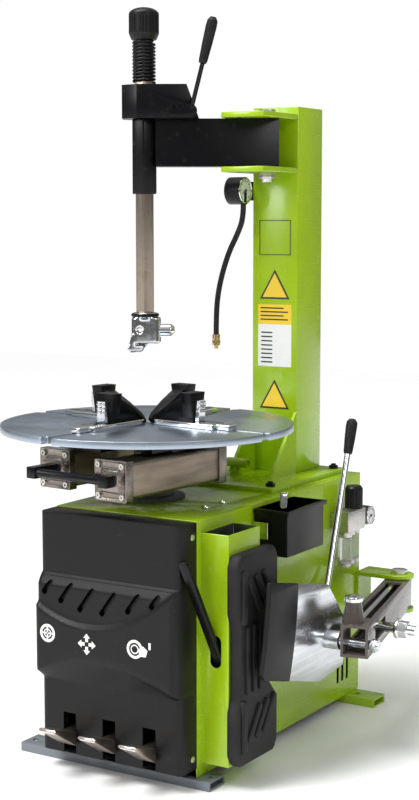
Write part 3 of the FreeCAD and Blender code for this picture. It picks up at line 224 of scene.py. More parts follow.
def rubber(name, colour=(0.009, 0.009, 0.0095)):
    """Dull black rubber with grey bloom and tiny pits."""
    material, shader, place = start_material(name, {"Specular IOR Level": 0.35})
    bloom = place.noise(14.0, 5.0).between(0.45, 0.75)
    pits = place.noise(700.0, 3.0).between(0.55, 0.8)
    base = (bloom * 0.5).mix(rgba(colour), rgba((0.04, 0.04, 0.038)))
    dress(shader, place, Base_Color=base, Roughness=0.62 + bloom * 0.16, Normal=pits.bump(0.00025, 0.5))
    return material


def drawn_metal(name, colour, along, rough=0.26, wear=0.5):
    """Brushed or drawn metal, with its lines along one axis (0, 1 or 2)."""
    material, shader, place = start_material(name, {"Metallic": 1.0})
    factors = [420.0, 420.0, 420.0]
    factors[along] = 7.0
    lines = place.stretched(tuple(factors)).noise(1.0, 4.0, 0.6)
    broad = [60.0, 60.0, 60.0]
    broad[along] = 2.0
    bands = place.stretched(tuple(broad)).noise(1.0, 3.0)
    stain = place.noise(17.0, 6.0, 0.65).between(0.50, 0.78)
    base = bands.between(0.3, 0.7).mix(rgba(colour, 0.80), rgba(colour, 1.15))
    base = (stain * wear * 0.5).mix(base, rgba((colour[0] * 0.42, colour[1] * 0.38, colour[2] * 0.33)))
    dress(shader, place, Base_Color=base, Roughness=rough + lines * 0.18 + stain * 0.14,
          Normal=lines.bump(0.00008, 0.5))
    return material


def turned_metal(name, colour, centre, rough=0.24):
    """Faced steel: fine rings about an upright axis, crossed by handling marks."""
    material, shader, place = start_material(name, {"Metallic": 1.0})
    flat = place.stretched((1.0, 1.0, 0.0), centre)
    radius = flat.node("ShaderNodeVectorMath", {"operation": "LENGTH"}, {0: flat}, output="Value")
    rings = radius.node("ShaderNodeTexNoise", {"noise_dimensions": "1D"},
                        {"W": radius, "Scale": 900.0, "Detail": 3.0})
    bands = radius.node("ShaderNodeTexNoise", {"noise_dimensions": "1D"},
                        {"W": radius, "Scale": 42.0, "Detail": 2.0})
    cloud = place.noise(7.0, 5.0).between(0.35, 0.7)
    scratch = place.stretched((12.0, 160.0, 1.0)).noise(1.0, 3.0).between(0.66, 0.72)
    base = (bands * 0.7 + cloud * 0.3).mix(rgba(colour, 0.74), rgba(colour, 1.18))
    base = (scratch * 0.4).mix(base, rgba((0.86, 0.88, 0.9)))
    dress(shader, place, Base_Color=base, Roughness=rough + rings * 0.16 + cloud * 0.10,
          Normal=(rings * 0.8 + scratch * 0.2).bump(0.0001, 0.5))
    return material


def cast_metal(name, colour, rough=0.34, grain=240.0, depth=0.0004, metallic=1.0):
    """Sand or die casting: lumpy skin, darker in the pits."""
    material, shader, place = start_material(name, {"Metallic": metallic})
    lumps = place.noise(grain, 4.0, 0.6)
    grime = place.noise(22.0, 6.0, 0.7).between(0.48, 0.75)
    base = lumps.between(0.3, 0.7).mix(rgba(colour, 0.82), rgba(colour, 1.10))
    base = (grime * 0.35).mix(base, rgba(colour, 0.45))
    dress(shader, place, Base_Color=base, Roughness=rough + grime * 0.18 + lumps * 0.08,
          Normal=lumps.bump(depth, 0.5))
    return material


def bright_metal(name, colour=(0.82, 0.83, 0.84), rough=0.07):
    """Chrome or polished casting with faint haze and polishing swirls."""
    material, shader, place = start_material(name, {"Metallic": 1.0})
    haze = place.noise(30.0, 5.0).between(0.4, 0.75)
    swirl = place.noise(160.0, 3.0)
    base = haze.mix(rgba(colour), rgba(colour, 0.84))
    dress(shader, place, Base_Color=base, Roughness=rough + haze * 0.12, Normal=swirl.bump(0.0001, 0.25))
    return material


def clear_plastic(name):
    """Clear bowl with an oil tint and fine moulding haze."""
    material, shader, place = start_material(
        name, {"Transmission Weight": 0.75, "IOR": 1.45, "Specular IOR Level": 0.6})
    haze = place.noise(90.0, 4.0).between(0.4, 0.7)
    base = haze.mix(rgba((0.86, 0.88, 0.86)), rgba((0.66, 0.69, 0.68)))
    dress(shader, place, Base_Color=base, Roughness=0.07 + haze * 0.12, Normal=haze.bump(0.0001, 0.3))
    return material


def printed(name, colour, rough=0.38):
    """Printed vinyl with a faint weave of ink dots and rubbed patches."""
    material, shader, place = start_material(name, {"Coat Weight": 0.25, "Coat Roughness": 0.2})
    dots = place.noise(900.0, 2.0)
    rub = place.noise(60.0, 5.0).between(0.5, 0.8)
    base = (dots * 0.5 + rub * 0.5).mix(rgba(colour, 0.94), rgba(colour, 1.04))
    dress(shader, place, Base_Color=base, Roughness=rough + rub * 0.15, Normal=dots.bump(0.00005, 0.3))
    return material


# ---- modelling tools ------------------------------------------------------------------
def deselect():
    if bpy.context.object and bpy.context.object.mode != "OBJECT":
        bpy.ops.object.mode_set(mode="OBJECT")
    bpy.ops.object.select_all(action="DESELECT")


def activate(obj):
    deselect()
    obj.select_set(True)
    bpy.context.view_layer.objects.active = obj
    return obj


def linked(obj):
    bpy.context.collection.objects.link(obj)
    return obj


def edit(obj, action="SELECT"):
    """Enter edit mode with everything selected, or nothing."""
    activate(obj)
    bpy.ops.object.mode_set(mode="EDIT")
    bpy.ops.mesh.select_all(action=action)


def settle(obj):
    """Write an object's place into its mesh."""
    activate(obj)
    bpy.ops.object.transform_apply(location=True, rotation=True, scale=True)
    return obj


def named(name):
    obj = bpy.context.object
    obj.name = name
    obj.data.name = name
    return obj


def add_box(name, low, high):
    deselect()
    middle = [(a + b) / 2 for a, b in zip(low, high)]
    bpy.ops.mesh.primitive_cube_add(size=1.0, location=middle)
    obj = named(name)
    obj.scale = [b - a for a, b in zip(low, high)]
    return settle(obj)


def add_bar(name, start, end, radius, sides=32, end_radius=None):
    """A round bar or cone between two points."""
    deselect()
    a, b = Vector(start), Vector(end)
    way = b - a
    turn = way.to_track_quat("Z", "Y").to_euler()
    bpy.ops.mesh.primitive_cone_add(vertices=sides, radius1=radius, depth=way.length,
                                    radius2=radius if end_radius is None else end_radius,
                                    location=(a + b) / 2, rotation=turn)
    return settle(named(name))


def add_ring(name, centre, axis, major, minor, sides=48, tube=12):
    deselect()
    turn = Vector(axis).to_track_quat("Z", "Y").to_euler()
    bpy.ops.mesh.primitive_torus_add(location=centre, rotation=turn, major_radius=major,
                                     minor_radius=minor, major_segments=sides, minor_segments=tube)
    return settle(named(name))


def modify(obj, kind, **settings):
    """Add a modifier and apply it."""
    activate(obj)
    modifier = obj.modifiers.new(kind.title(), kind)
    for name, value in settings.items():
        setattr(modifier, name, value)
    bpy.ops.object.modifier_apply(modifier=modifier.name)
    return obj


def smooth(obj, degrees=35.0):
    activate(obj)
    bpy.ops.object.shade_smooth_by_angle(angle=math.radians(degrees))
    return obj


def bevel(obj, width, segments=2, degrees=30.0):
    modify(obj, "BEVEL", width=width, segments=segments, limit_method="ANGLE",
           angle_limit=math.radians(degrees), use_clamp_overlap=True)
    return smooth(obj)


def pick_faces(obj, test):
    """Select exactly the faces that pass a test, and enter edit mode."""
    activate(obj)
    for vertex in obj.data.vertices:
        vertex.select = False
    for edge in obj.data.edges:
        edge.select = False
    for face in obj.data.polygons:
        face.select = bool(test(face))
    bpy.ops.object.mode_set(mode="EDIT")
    bpy.ops.mesh.select_mode(type="FACE")


def leave_edit():
    bpy.ops.object.mode_set(mode="OBJECT")


def recalculate(obj):
    """Merge doubles, then turn every face outwards."""
    edit(obj)
    bpy.ops.mesh.remove_doubles(threshold=WELD)
    bpy.ops.mesh.normals_make_consistent(inside=False)
    leave_edit()
    return obj


def join(name, objects):
    deselect()
    for obj in objects:
        obj.select_set(True)
    bpy.context.view_layer.objects.active = objects[0]
    bpy.ops.object.join()
    return named(name)


def carve(obj, cutters):
    """Cut the cutters out of a piece and remove them."""
    for cutter in cutters:
        modify(obj, "BOOLEAN", operation="DIFFERENCE", solver="EXACT", object=cutter)
        bpy.data.objects.remove(cutter, do_unlink=True)
    return obj


def turned_about(obj, centre, axis, angle):
    """Turn a settled piece about a line."""
    obj.data.transform(Matrix.Translation(centre) @ Matrix.Rotation(angle, 4, axis)
                       @ Matrix.Translation(-Vector(centre)))
    return obj


def flattened(obj, y, share):
    """A settled piece pressed towards an upright plane across Y."""
    obj.data.transform(Matrix.Translation((0, y, 0)) @ Matrix.Scale(share, 4, (0, 1, 0))
                       @ Matrix.Translation((0, -y, 0)))
    return obj


def paint(obj, material):
    obj.data.materials.clear()
    obj.data.materials.append(material)
    for face in obj.data.polygons:
        face.material_index = 0
    return obj


def fit(obj, material, body, slot, *replaced):
    """Finish a piece: its material, its body and the CAD nodes it stands for. The slot is not used."""
    if material is not None:
        paint(obj, material)
    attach(obj, body)
    if replaced:
        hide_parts(*replaced)
    return obj


def cad_copy(node, name):
    """A merged copy of a CAD node's mesh."""
    deselect()
    copy = linked(bpy.data.objects.new(name, frame["nodes"][node].data.copy()))
    edit(copy)
    bpy.ops.mesh.remove_doubles(threshold=WELD)
    bpy.ops.mesh.dissolve_limited(angle_limit=FLAT_ANGLE)
    leave_edit()
    return copy


def soften(node, width, segments=2):
    """A CAD node redone with rounded edges, in the same place and finish."""
    copy = bevel(cad_copy(node, node + "_soft"), width, segments)
    # The cabinet and the wheel support take the enamel with painted shade on their inner walls.
    finish = "cabinet_paint_and_inner_shade" if node in ("cabinet_shell", "wheel_support") else NODE_SLOT[node]
    return fit(copy, MATERIALS[finish], NODE_BODY[node], NODE_SLOT[node], node)


def centre_of(node):
    low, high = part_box(node)
    return (low + high) / 2


# ---- places on the machine --------------------------------------------------------------
MATERIALS = {}
SHELL_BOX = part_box("cabinet_shell")
SUPPORT_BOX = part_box("wheel_support")
SKIN = 0.0015            # depth of the painted skin of the sheet metal
# Boxes inside the cabinet and the wheel support: within them the enamel is swapped for painted shade.
CABINET_HOLLOW = ([SHELL_BOX[0][0] + SKIN, SHELL_BOX[0][1] - 0.01, -0.01],
                  [SHELL_BOX[1][0] - SKIN, SHELL_BOX[1][1] - SKIN, SHELL_BOX[1][2] - 0.003])
SUPPORT_HOLLOW = ([SUPPORT_BOX[0][0] + SKIN, SUPPORT_BOX[0][1] + SKIN, SUPPORT_BOX[0][2] + SKIN],
                  [SUPPORT_BOX[1][0] - SKIN, SUPPORT_BOX[1][1] - SKIN, SUPPORT_BOX[1][2] - 0.0005])
TABLE = centre_of("turntable_disc")
TABLE_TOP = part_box("turntable_disc")[1].z
TABLE_TURN = math.radians(-6.0)
GROMMETS = ((0.139, -0.216), (0.138, -0.145))
TRAY_PIN = (0.262, -0.100)
COVER_DEPTH = 0.060         # from the cover's rear edge to its flat face
SIGN_STANDOFF = 0.0244      # from the flat face to the signs on the swelling belt
BREAKER_PIVOT = Vector((0.306, 0.395, 0.0))
BREAKER_LEAN = math.radians(13.6)
KNUCKLE = (0.402, -0.042)
TICKS = 25                  # marks on a dial, a long one every LONG_TICK
LONG_TICK = 4
DIAL_SWEEP = 270            # degrees from the first mark to the last


def make_materials(colours):
    """One finish for every material slot of the record, and the few that only the details use."""
    green = tuple(colours.enamel)
    MATERIALS.update({
        "green_paint": powder_coat("Lime enamel", green, 0.25),
        # Lime enamel with painted shade on the walls inside the cabinet and the wheel support.
        "cabinet_paint_and_inner_shade": coat_with_painted_shade("Cabinet enamel with painted inner shade", green),
        "black_coat": powder_coat("Black powder coat", (0.003, 0.003, 0.004), 0.30, 1.6, 0.05, 0.22),
        "grey_paint": powder_coat("Grey enamel", tuple(colours.feet), 0.4),
        "taupe_paint": powder_coat("Taupe enamel", (0.085, 0.068, 0.057), 0.26),
        "motor_grey": cast_metal("Painted casting", (0.10, 0.105, 0.11), 0.5, 160.0, 0.0006, 0.0),
        "black_moulding": moulded_plastic("Black moulding", (0.006, 0.006, 0.0065), 900.0, 0.36),
        "black_rubber": rubber("Black rubber"),
        "belt_rubber": rubber("Belt rubber", (0.025, 0.025, 0.025)),
        "table_steel": turned_metal("Faced table steel", tuple(colours.table), (TABLE.x, TABLE.y, 0.0)),
        "shaft_steel": drawn_metal("Drawn shaft steel", (0.27, 0.225, 0.185), 2, 0.2, 0.9),
        "blade_steel": drawn_metal("Blade steel", (0.78, 0.81, 0.85), 1, 0.13, 0.2),
        "pedal_steel": drawn_metal("Pedal steel", (0.42, 0.36, 0.30), 1, 0.26, 0.9),
        "anodised": drawn_metal("Champagne anodising", tuple(colours.cylinder), 1, 0.30, 0.2),
        "cast_alloy": cast_metal("Die-cast alloy", (0.62, 0.60, 0.57), 0.30),
        "cap_alloy": cast_metal("Anodised cap alloy", (0.30, 0.26, 0.23), 0.24),
        "cast_chrome": bright_metal("Polished chrome"),
        "zinc": cast_metal("Zinc plate", (0.74, 0.74, 0.70), 0.26, 420.0, 0.00012),
        "brass": cast_metal("Turned brass", (0.68, 0.47, 0.22), 0.22, 420.0, 0.00012),
        "clear_bowl": clear_plastic("Clear bowl"),
        "dial_face": printed("Dial face", (0.80, 0.81, 0.80)),
        "label_white": printed("White vinyl", (0.86, 0.86, 0.84)),
        "label_yellow": printed("Yellow vinyl", (0.90, 0.62, 0.03)),
        "label_black": printed("Black vinyl", (0.02, 0.02, 0.02)),
    })


# ---- settings -------------------------------------------------------------------------
class TYRECHANGER_PG_sizes(bpy.types.PropertyGroup):
    """Sizes of the details that a user may change."""

    edge: bpy.props.FloatProperty(
        name="Plate edge", description="Rounding of the edges of plates and boxes",
        default=0.0016, min=0.0002, max=0.004, unit="LENGTH")
    bulge: bpy.props.FloatProperty(
        name="Cover bulge", description="How far the front cover's belt stands out",
        default=0.024, min=0.005, max=0.026, unit="LENGTH")
    wire: bpy.props.FloatProperty(
        name="Spring wire", description="Thickness of the return spring's wire",
        default=0.0068, min=0.004, max=0.008, unit="LENGTH")
    turns: bpy.props.IntProperty(
        name="Spring turns", description="Turns of the return spring", default=12, min=6, max=13)
    knurls: bpy.props.IntProperty(
        name="Cap ridges", description="Ridges round the shaft's cap", default=30, min=12, max=48)
    hose: bpy.props.FloatProperty(
        name="Hose diameter", description="Outer diameter of the inflation hose",
        default=0.013, min=0.008, max=0.02, unit="LENGTH")


class TYRECHANGER_PG_colours(bpy.types.PropertyGroup):
    """Colours of the finishes."""

    enamel: bpy.props.FloatVectorProperty(
        name="Enamel", description="Colour of the cabinet and column", subtype="COLOR",
        default=(0.36, 0.56, 0.006), min=0.0, max=1.0)
    table: bpy.props.FloatVectorProperty(
        name="Table steel", description="Colour of the turntable", subtype="COLOR",
        default=(0.42, 0.48, 0.56), min=0.0, max=1.0)
    cylinder: bpy.props.FloatVectorProperty(
        name="Cylinders", description="Colour of the anodised clamp cylinders", subtype="COLOR",
        default=(0.33, 0.27, 0.21), min=0.0, max=1.0)
    feet: bpy.props.FloatVectorProperty(
        name="Feet", description="Colour of the front foot", subtype="COLOR",
        default=(0.17, 0.19, 0.22), min=0.0, max=1.0)


class PieceOperator:
    """What every piece operator shares."""

    bl_options = {"REGISTER"}

    def execute(self, context):
        self.build(context.scene.tyrechanger_sizes)
        return {"FINISHED"}


# ---- operators ------------------------------------------------------------------------
class TYRECHANGER_OT_finishes(bpy.types.Operator):
    """Make the finishes and give every CAD piece its own."""

    bl_idname = "tyrechanger.finishes"
    bl_label = "Finishes"

    def execute(self, context):
        make_materials(context.scene.tyrechanger_colours)
        for node, obj in frame["nodes"].items():
            for place in obj.material_slots:
                place.material = MATERIALS[NODE_SLOT[node]]
        return {"FINISHED"}


class TYRECHANGER_OT_plates(PieceOperator, bpy.types.Operator):
    """Round the edges of the welded plates, boxes and castings."""

    bl_idname = "tyrechanger.plates"
    bl_label = "Plates and boxes"

    def build(self, sizes):
        plates = ("front_foot", "rear_foot", "cabinet_shell", "column", "column_base", "arm_bracket",
                  "wheel_support", "breaker_bracket", "swing_arm", "arm_sleeve", "clamp_block",
                  "breaker_arm", "tool_tray", "turntable_disc", "table_frame", "cylinder_bodies")
        for node in plates:
            soften(node, sizes.edge * (2.0 if node in ("arm_sleeve", "clamp_block") else 1.0))
        for node in ("arm_pivot", "column_bolts", "breaker_pin", "breaker_rod", "cover_screws",
                     "tyre_lever", "hex_shaft", "pedal_shaft", "motor", "gearbox", "table_hub"):
            soften(node, 0.0008)


class TYRECHANGER_OT_deck_fittings(PieceOperator, bpy.types.Operator):
    """Bright grommets in the deck, the tray's pin and bracket, and a black sheet over the cabinet's floor as
    painted shade.
    """

    bl_idname = "tyrechanger.deck_fittings"
    bl_label = "Deck fittings"

    def build(self, sizes):
        deck = SHELL_BOX[1][2]
        rings = [add_ring("grommet", (x, y, deck + 0.0008), (0, 0, 1), 0.0072, 0.0020, 32, 8)
                 for x, y in GROMMETS]
        fit(smooth(join("deck_grommets", rings)), MATERIALS["cast_chrome"], "base", "zinc")
        low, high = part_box("tool_tray")
        pin = add_bar("tray_pin", (*TRAY_PIN, low.z + 0.004), (*TRAY_PIN, high.z + 0.030), 0.0075, 28)
        top = add_bar("tray_pin_top", (*TRAY_PIN, high.z + 0.026), (*TRAY_PIN, high.z + 0.034),
                      0.0085, 28)
        fit(bevel(join("tray_tool", [pin, top]), 0.0008, 2), MATERIALS["cast_chrome"], "base", "zinc")
        # Painted shade: a black sheet over the floor inside the cabinet, so the pale floor seen through the
        # pedal openings shows dark.
        floor = SHELL_BOX[0]
        sheet = add_box("cabinet_floor_shade_sheet", (floor[0] + 0.004, floor[1] + 0.002, floor[2] + 0.002),
                        (SHELL_BOX[1][0] - 0.004, SHELL_BOX[1][1] - 0.004, floor[2] + 0.004))
        fit(bevel(sheet, 0.0004, 1), MATERIALS["black_coat"], "base", "black_coat")
        strap = add_box("tray_strap", (low.x + 0.002, low.y - 0.0012, low.z + 0.036),
                        (low.x + 0.040, low.y + 0.0002, low.z + 0.072))
        fit(bevel(strap, 0.0004, 1), MATERIALS["blade_steel"], "base", "zinc")


class TYRECHANGER_OT_front_cover(PieceOperator, bpy.types.Operator):
    """Mould the pedal cover: a swelling belt, six sloping vents and three pedal openings."""

    bl_idname = "tyrechanger.front_cover"
    bl_label = "Front cover"

    def build(self, sizes):
        low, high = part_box("front_cover")
        rear = high.y
        flat = rear - COVER_DEPTH
        shell = self.front_sheet(low, high, flat, sizes.bulge)
        self.pull_sides(shell, rear)
        modify(shell, "SOLIDIFY", thickness=0.004, offset=-1.0)
        recalculate(shell)
        carve(shell, self.pedal_cutters(low, flat) + self.vent_cutters(flat))
        bevel(shell, 0.0012, 2, 40.0)
        fit(shell, MATERIALS["black_moulding"], "base", "black_moulding", "front_cover")
        # A black plate behind the vents stands for the shade inside them.
        self.shade_behind_vents(low, high, flat)
        self.symbols(flat)

    def front_sheet(self, low, high, flat, bulge):
        """The front face as a fine sheet, pushed out where the belt swells."""
        deselect()
        bpy.ops.mesh.primitive_grid_add(x_subdivisions=88, y_subdivisions=128, size=1.0,
                                        location=(0, 0, 0))
        sheet = named("front_cover_shell")
        width, height = high.x - low.x, high.z - low.z
        for vertex in sheet.data.vertices:
            share = vertex.co.x + 0.5
            z = low.z + (vertex.co.y + 0.5) * height
            out = bulge * belt_height(share, z)
            corner = min(share, 1.0 - share) * width
            turn = 0.012
            back = turn - math.sqrt(max(0.0, turn ** 2 - max(0.0, turn - corner) ** 2))
            vertex.co = (low.x + share * width, flat - out + back, z)
        return sheet

    def pull_sides(self, sheet, rear):
        """Draw the open edges back to the cabinet."""
        edit(sheet, "DESELECT")
        bpy.ops.mesh.select_mode(type="EDGE")
        bpy.ops.mesh.select_non_manifold()
        bpy.ops.mesh.extrude_region_move(TRANSFORM_OT_translate={"value": (0, 0.03, 0)})
        leave_edit()
        for vertex in sheet.data.vertices:
            if vertex.select:
                vertex.co.y = rear
        recalculate(sheet)

    def pedal_cutters(self, low, flat):
        cutters = []
        for index in (1, 2, 3):
            x = centre_of("pedal_%d" % index).x
            cutters.append(add_box("cut", (x - 0.016, flat - 0.04, low.z - 0.02),
                                   (x + 0.016, flat + 0.07, low.z + 0.088)))
        return cutters

    def vents(self):
        """Middle (x, z) and length of each vent: short at the ends, long in the middle."""
        return ((-0.116, 0.396, 0.037), (-0.068, 0.388, 0.054), (-0.016, 0.379, 0.064),
                (0.040, 0.378, 0.064), (0.101, 0.386, 0.053), (0.154, 0.396, 0.036))

    def vent_cutters(self, flat):
        cutters = []
        for x, z, length in self.vents():
            slot = add_box("cut", (x - 0.0062, flat - 0.05, z - length / 2),
                           (x + 0.0062, flat + 0.02, z + length / 2))
            bevel(slot, 0.0058, 5)
            cutters.append(turned_about(slot, (x, flat, z), "Y", math.radians(37)))
        return cutters

    def shade_behind_vents(self, low, high, flat):
        """A black plate close behind the vents: painted shade for the dark inside of the vents."""
        plate = add_box("vent_shade_plate", (low.x + 0.010, flat - 0.006, 0.335),
                        (high.x - 0.010, flat - 0.004, 0.420))
        bevel(plate, 0.0006, 1)
        fit(plate, MATERIALS["black_coat"], "base", "black_coat")

    def symbols(self, flat):
        """Three plain white signs over the pedals: a wheel, four arrows and a tyre with its blade."""
        pieces = []
        for x, z, kind in ((-0.109, 0.300, "wheel"), (-0.008, 0.290, "arrows"), (0.112, 0.297, "tyre")):
            y = flat - SIGN_STANDOFF
            if kind == "arrows":
                for step in range(4):
                    arm = add_bar("arrow", (x, y, z + 0.005), (x, y, z + 0.014), 0.0036, 4, 0.0036)
                    head = add_bar("arrow", (x, y, z + 0.013), (x, y, z + 0.022), 0.0085, 4, 0.0008)
                    arm = flattened(join("arrow", [arm, head]), y, 0.08)
                    pieces.append(turned_about(arm, (x, y, z), "Y", math.pi / 2 * step))
                continue
            ring = add_ring("ring", (x, y, z), (0, 1, 0), 0.0165, 0.0030, 40, 8)
            inner = add_ring("ring", (x, y, z), (0, 1, 0), 0.0085, 0.0014, 30, 8)
            pieces.append(flattened(join("rings", [ring, inner]), y, 0.25))
            if kind == "wheel":
                for turn in range(2):
                    bar = add_box("bar", (x - 0.0016, y - 0.0006, z - 0.0165),
                                  (x + 0.0016, y + 0.0006, z + 0.0165))
                    pieces.append(turned_about(bar, (x, y, z), "Y", math.pi / 2 * turn))
            else:
                pieces.append(add_bar("blade", (x + 0.020, y - 0.0006, z - 0.003),
                                      (x + 0.020, y + 0.0006, z - 0.003), 0.012, 5))
                pieces.append(add_box("drop", (x + 0.034, y - 0.0006, z + 0.004),
                                      (x + 0.039, y + 0.0006, z + 0.018)))
        signs = join("cover_signs", pieces)
        fit(smooth(signs), MATERIALS["label_white"], "base", "black_moulding")


def belt_height(share, z):
    """Swelling of the front cover, 0 to 1, at a share of its width and a height."""
    top, foot = 0.424, 0.196
    left, right = max(0.0, 0.36 - share) / 0.36, max(0.0, share - 0.36) / 0.64
    smile = 0.322 + 0.037 * left ** 2 + 0.100 * right ** 2.2
    left, right = max(0.0, 0.42 - share) / 0.39, max(0.0, share - 0.42) / 0.58
    ridge = 0.258 - 0.039 * left ** 2 - 0.049 * right ** 1.8
    if z >= top:
        return 0.0
    if z >= smile:
        panel = min(1.0, (top - z) / 0.022)
        near = max(0.0, 1.0 - (z - smile) / 0.010)
        return min(1.0, 0.66 * panel ** 0.7 + 0.34 * near ** 1.5)
    if z >= ridge:
        return 1.0 - 0.04 * max(0.0, 1.0 - (z - ridge) / 0.012)
    return 0.96 * max(0.0, (z - foot) / max(0.006, ridge - foot)) ** 1.25


class TYRECHANGER_OT_spring_and_cap(PieceOperator, bpy.types.Operator):
    """Coil the return spring and ridge the shaft's cap."""

    bl_idname = "tyrechanger.spring_and_cap"
    bl_label = "Spring and cap"

    def build(self, sizes):
        low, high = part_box("return_spring")
        middle = (low + high) / 2
        wire = sizes.wire / 2
        coil_radius = (high.x - low.x) / 2 - wire
        pitch = (high.z - low.z - 2 * wire) / sizes.turns
        deselect()
        bpy.ops.mesh.primitive_circle_add(vertices=12, radius=wire, rotation=(math.pi / 2, 0, 0),
                                          location=(coil_radius, 0, 0))
        coil = settle(named("return_spring_coil"))
        modify(coil, "SCREW", angle=2 * math.pi, screw_offset=pitch, iterations=sizes.turns,
               steps=36, render_steps=36, use_merge_vertices=True, merge_threshold=WELD)
        edit(coil, "DESELECT")
        bpy.ops.mesh.select_non_manifold()
        bpy.ops.mesh.edge_face_add()
        leave_edit()
        recalculate(coil)
        coil.data.transform(Matrix.Translation((middle.x, middle.y, low.z + wire)))
        smooth(coil, 60)
        paint(coil, MATERIALS["black_coat"])
        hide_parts("return_spring")
        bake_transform(coil)
        self.ridged_cap(sizes.knurls)

    def ridged_cap(self, count):
        low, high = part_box("shaft_cap")
        x, y = (low.x + high.x) / 2, (low.y + high.y) / 2
        radius = (high.x - low.x) / 2
        wide, waist, shoulder = radius * 0.97, low.z + 0.014, high.z - 0.016
        foot = add_bar("cap_foot", (x, y, low.z), (x, y, waist), radius * 0.80, 60, wide)
        body = add_bar("cap_body", (x, y, waist), (x, y, shoulder), wide, count * 2)
        pick_faces(body, lambda f: abs(f.normal.z) < 0.5 and f.index % 2 == 0)
        bpy.ops.mesh.inset(thickness=0.0008, depth=-0.0022, use_individual=True)
        leave_edit()
        deselect()
        bpy.ops.mesh.primitive_uv_sphere_add(segments=60, ring_count=24, radius=1.0,
                                             location=(x, y, shoulder))
        dome = named("cap_dome")
        dome.scale = (wide, wide, 0.016)
        settle(dome)
        cap = join("shaft_cap_ridged", [foot, body, dome])
        bevel(cap, 0.0006, 1, 40)
        fit(cap, MATERIALS["black_moulding"], "head", "black_moulding", "shaft_cap")


class TYRECHANGER_OT_mounting_head(PieceOperator, bpy.types.Operator):
    """Cast the mounting head with flowing corners, its roller and its collar."""

    bl_idname = "tyrechanger.mounting_head"
    bl_label = "Mounting head"

    def build(self, sizes):
        head = cad_copy("mount_head", "mount_head_cast")
        modify(head, "REMESH", mode="VOXEL", voxel_size=0.0022)
        modify(head, "SMOOTH", factor=0.6, iterations=9)
        smooth(head, 80)
        fit(head, MATERIALS["cast_chrome"], "head", "cast_chrome", "mount_head")
        shaft, top = centre_of("hex_shaft"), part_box("mount_head")[1].z
        ring = add_ring("head_collar", (shaft.x, shaft.y, top - 0.006), (0, 0, 1), 0.0285, 0.0042)
        fit(smooth(ring), MATERIALS["black_coat"], "head", "black_coat")
        roller = cad_copy("head_roller", "head_roller_turned")
        bevel(roller, 0.0014, 3)
        fit(roller, MATERIALS["cast_chrome"], "head", "pedal_steel", "head_roller")


class TYRECHANGER_OT_clamp_cylinders(PieceOperator, bpy.types.Operator):
    """Ribbed end caps with corner screws, and the jaws with their teeth."""

    bl_idname = "tyrechanger.clamp_cylinders"
    bl_label = "Clamp cylinders and jaws"

    def build(self, sizes):
        self.caps()
        self.jaws()

    def caps(self):
        """Four square caps, each with a ribbed face, a boss and four socket screws."""
        side, thick, offset, stagger, length = 0.086, 0.026, 0.100, 0.024, 0.340
        z = centre_of("cylinder_caps").z
        turn = Matrix.Translation((TABLE.x, TABLE.y, 0)) @ Matrix.Rotation(TABLE_TURN, 4, "Z")
        bodies, screws = [], []
        for way in (-1, 1):
            start = -length / 2 - 0.045 - way * stagger
            for face, inward in ((start, 1), (start + length, -1)):
                x = way * offset
                cap = add_box("cap", (x - side / 2, min(face, face + inward * thick), z - side / 2),
                              (x + side / 2, max(face, face + inward * thick), z + side / 2))
                pick_faces(cap, lambda f, inward=inward: f.normal.y * inward < -0.9)
                bpy.ops.mesh.inset(thickness=0.006, depth=-0.004)
                bpy.ops.mesh.inset(thickness=0.012, depth=0.0)
                bpy.ops.mesh.inset(thickness=0.003, depth=0.005)
                leave_edit()
                bodies.append(bevel(cap, 0.0035, 3))
                for ribs in range(5):
                    zz = z + (ribs - 2) * 0.013
                    rib = add_box("rib", (x - side / 2 + 0.007, face + inward * 0.0015, zz - 0.0012),
                                  (x + side / 2 - 0.007, face + inward * 0.006, zz + 0.0012))
                    bodies.append(bevel(rib, 0.0006, 1))
                boss = add_bar("boss", (x, face + inward * 0.006, z), (x, face, z), 0.013, 28)
                bodies.append(bevel(boss, 0.0012, 2))
                for sx in (-1, 1):
                    for sz in (-1, 1):
                        px, pz = x + sx * side * 0.37, z + sz * side * 0.37
                        screw = add_bar("screw", (px, face + inward * 0.006, pz),
                                        (px, face - inward * 0.0015, pz), 0.0058, 20)
                        pick_faces(screw, lambda f, inward=inward: f.normal.y * inward < -0.9)
                        bpy.ops.mesh.inset(thickness=0.0026, depth=0.0)
                        bpy.ops.mesh.inset(thickness=0.0003, depth=-0.003)
                        leave_edit()
                        screws.append(screw)
        for name, parts, slot in (("cylinder_caps_ribbed", bodies, "cast_alloy"),
                                  ("cylinder_screws", screws, "zinc")):
            group = join(name, parts)
            group.data.transform(turn)
            smooth(group)
            replaced = ("cylinder_caps",) if slot == "cast_alloy" else ()
            fit(group, MATERIALS["cap_alloy" if replaced else slot], "turntable", slot, *replaced)

    def jaws(self):
        """Rounded claws and slides, with hardened toothed plates on the claws' outer sides."""
        for index in range(4):
            body = "jaw_%d" % (index + 1)
            soften("jaw_slide_%d" % (index + 1), 0.0030, 3)
            soften("jaw_claw_%d" % (index + 1), 0.0016, 2)
            turn = (Matrix.Translation((TABLE.x, TABLE.y, 0))
                    @ Matrix.Rotation(TABLE_TURN + math.pi / 2 * index, 4, "Z"))
            low, out = TABLE_TOP + 0.0125, 0.1505
            plate = add_box("plate", (out - 0.010, -0.0112, low + 0.0002),
                            (out + 0.0018, 0.0112, low + 0.0464))
            parts = [bevel(plate, 0.001, 1)]
            for row in range(3):
                for side in (-1, 1):
                    z = low + 0.024 + 0.0085 * row
                    tooth = add_box("tooth", (out, side * 0.0055 - 0.0045, z - 0.0034),
                                    (out + 0.0046, side * 0.0055 + 0.0045, z + 0.0034))
                    parts.append(bevel(tooth, 0.0012, 2))
            grip = join("jaw_teeth_%d" % (index + 1), parts)
            grip.data.transform(turn)
            fit(smooth(grip, 30), MATERIALS["cast_chrome"], body, "cast_chrome")


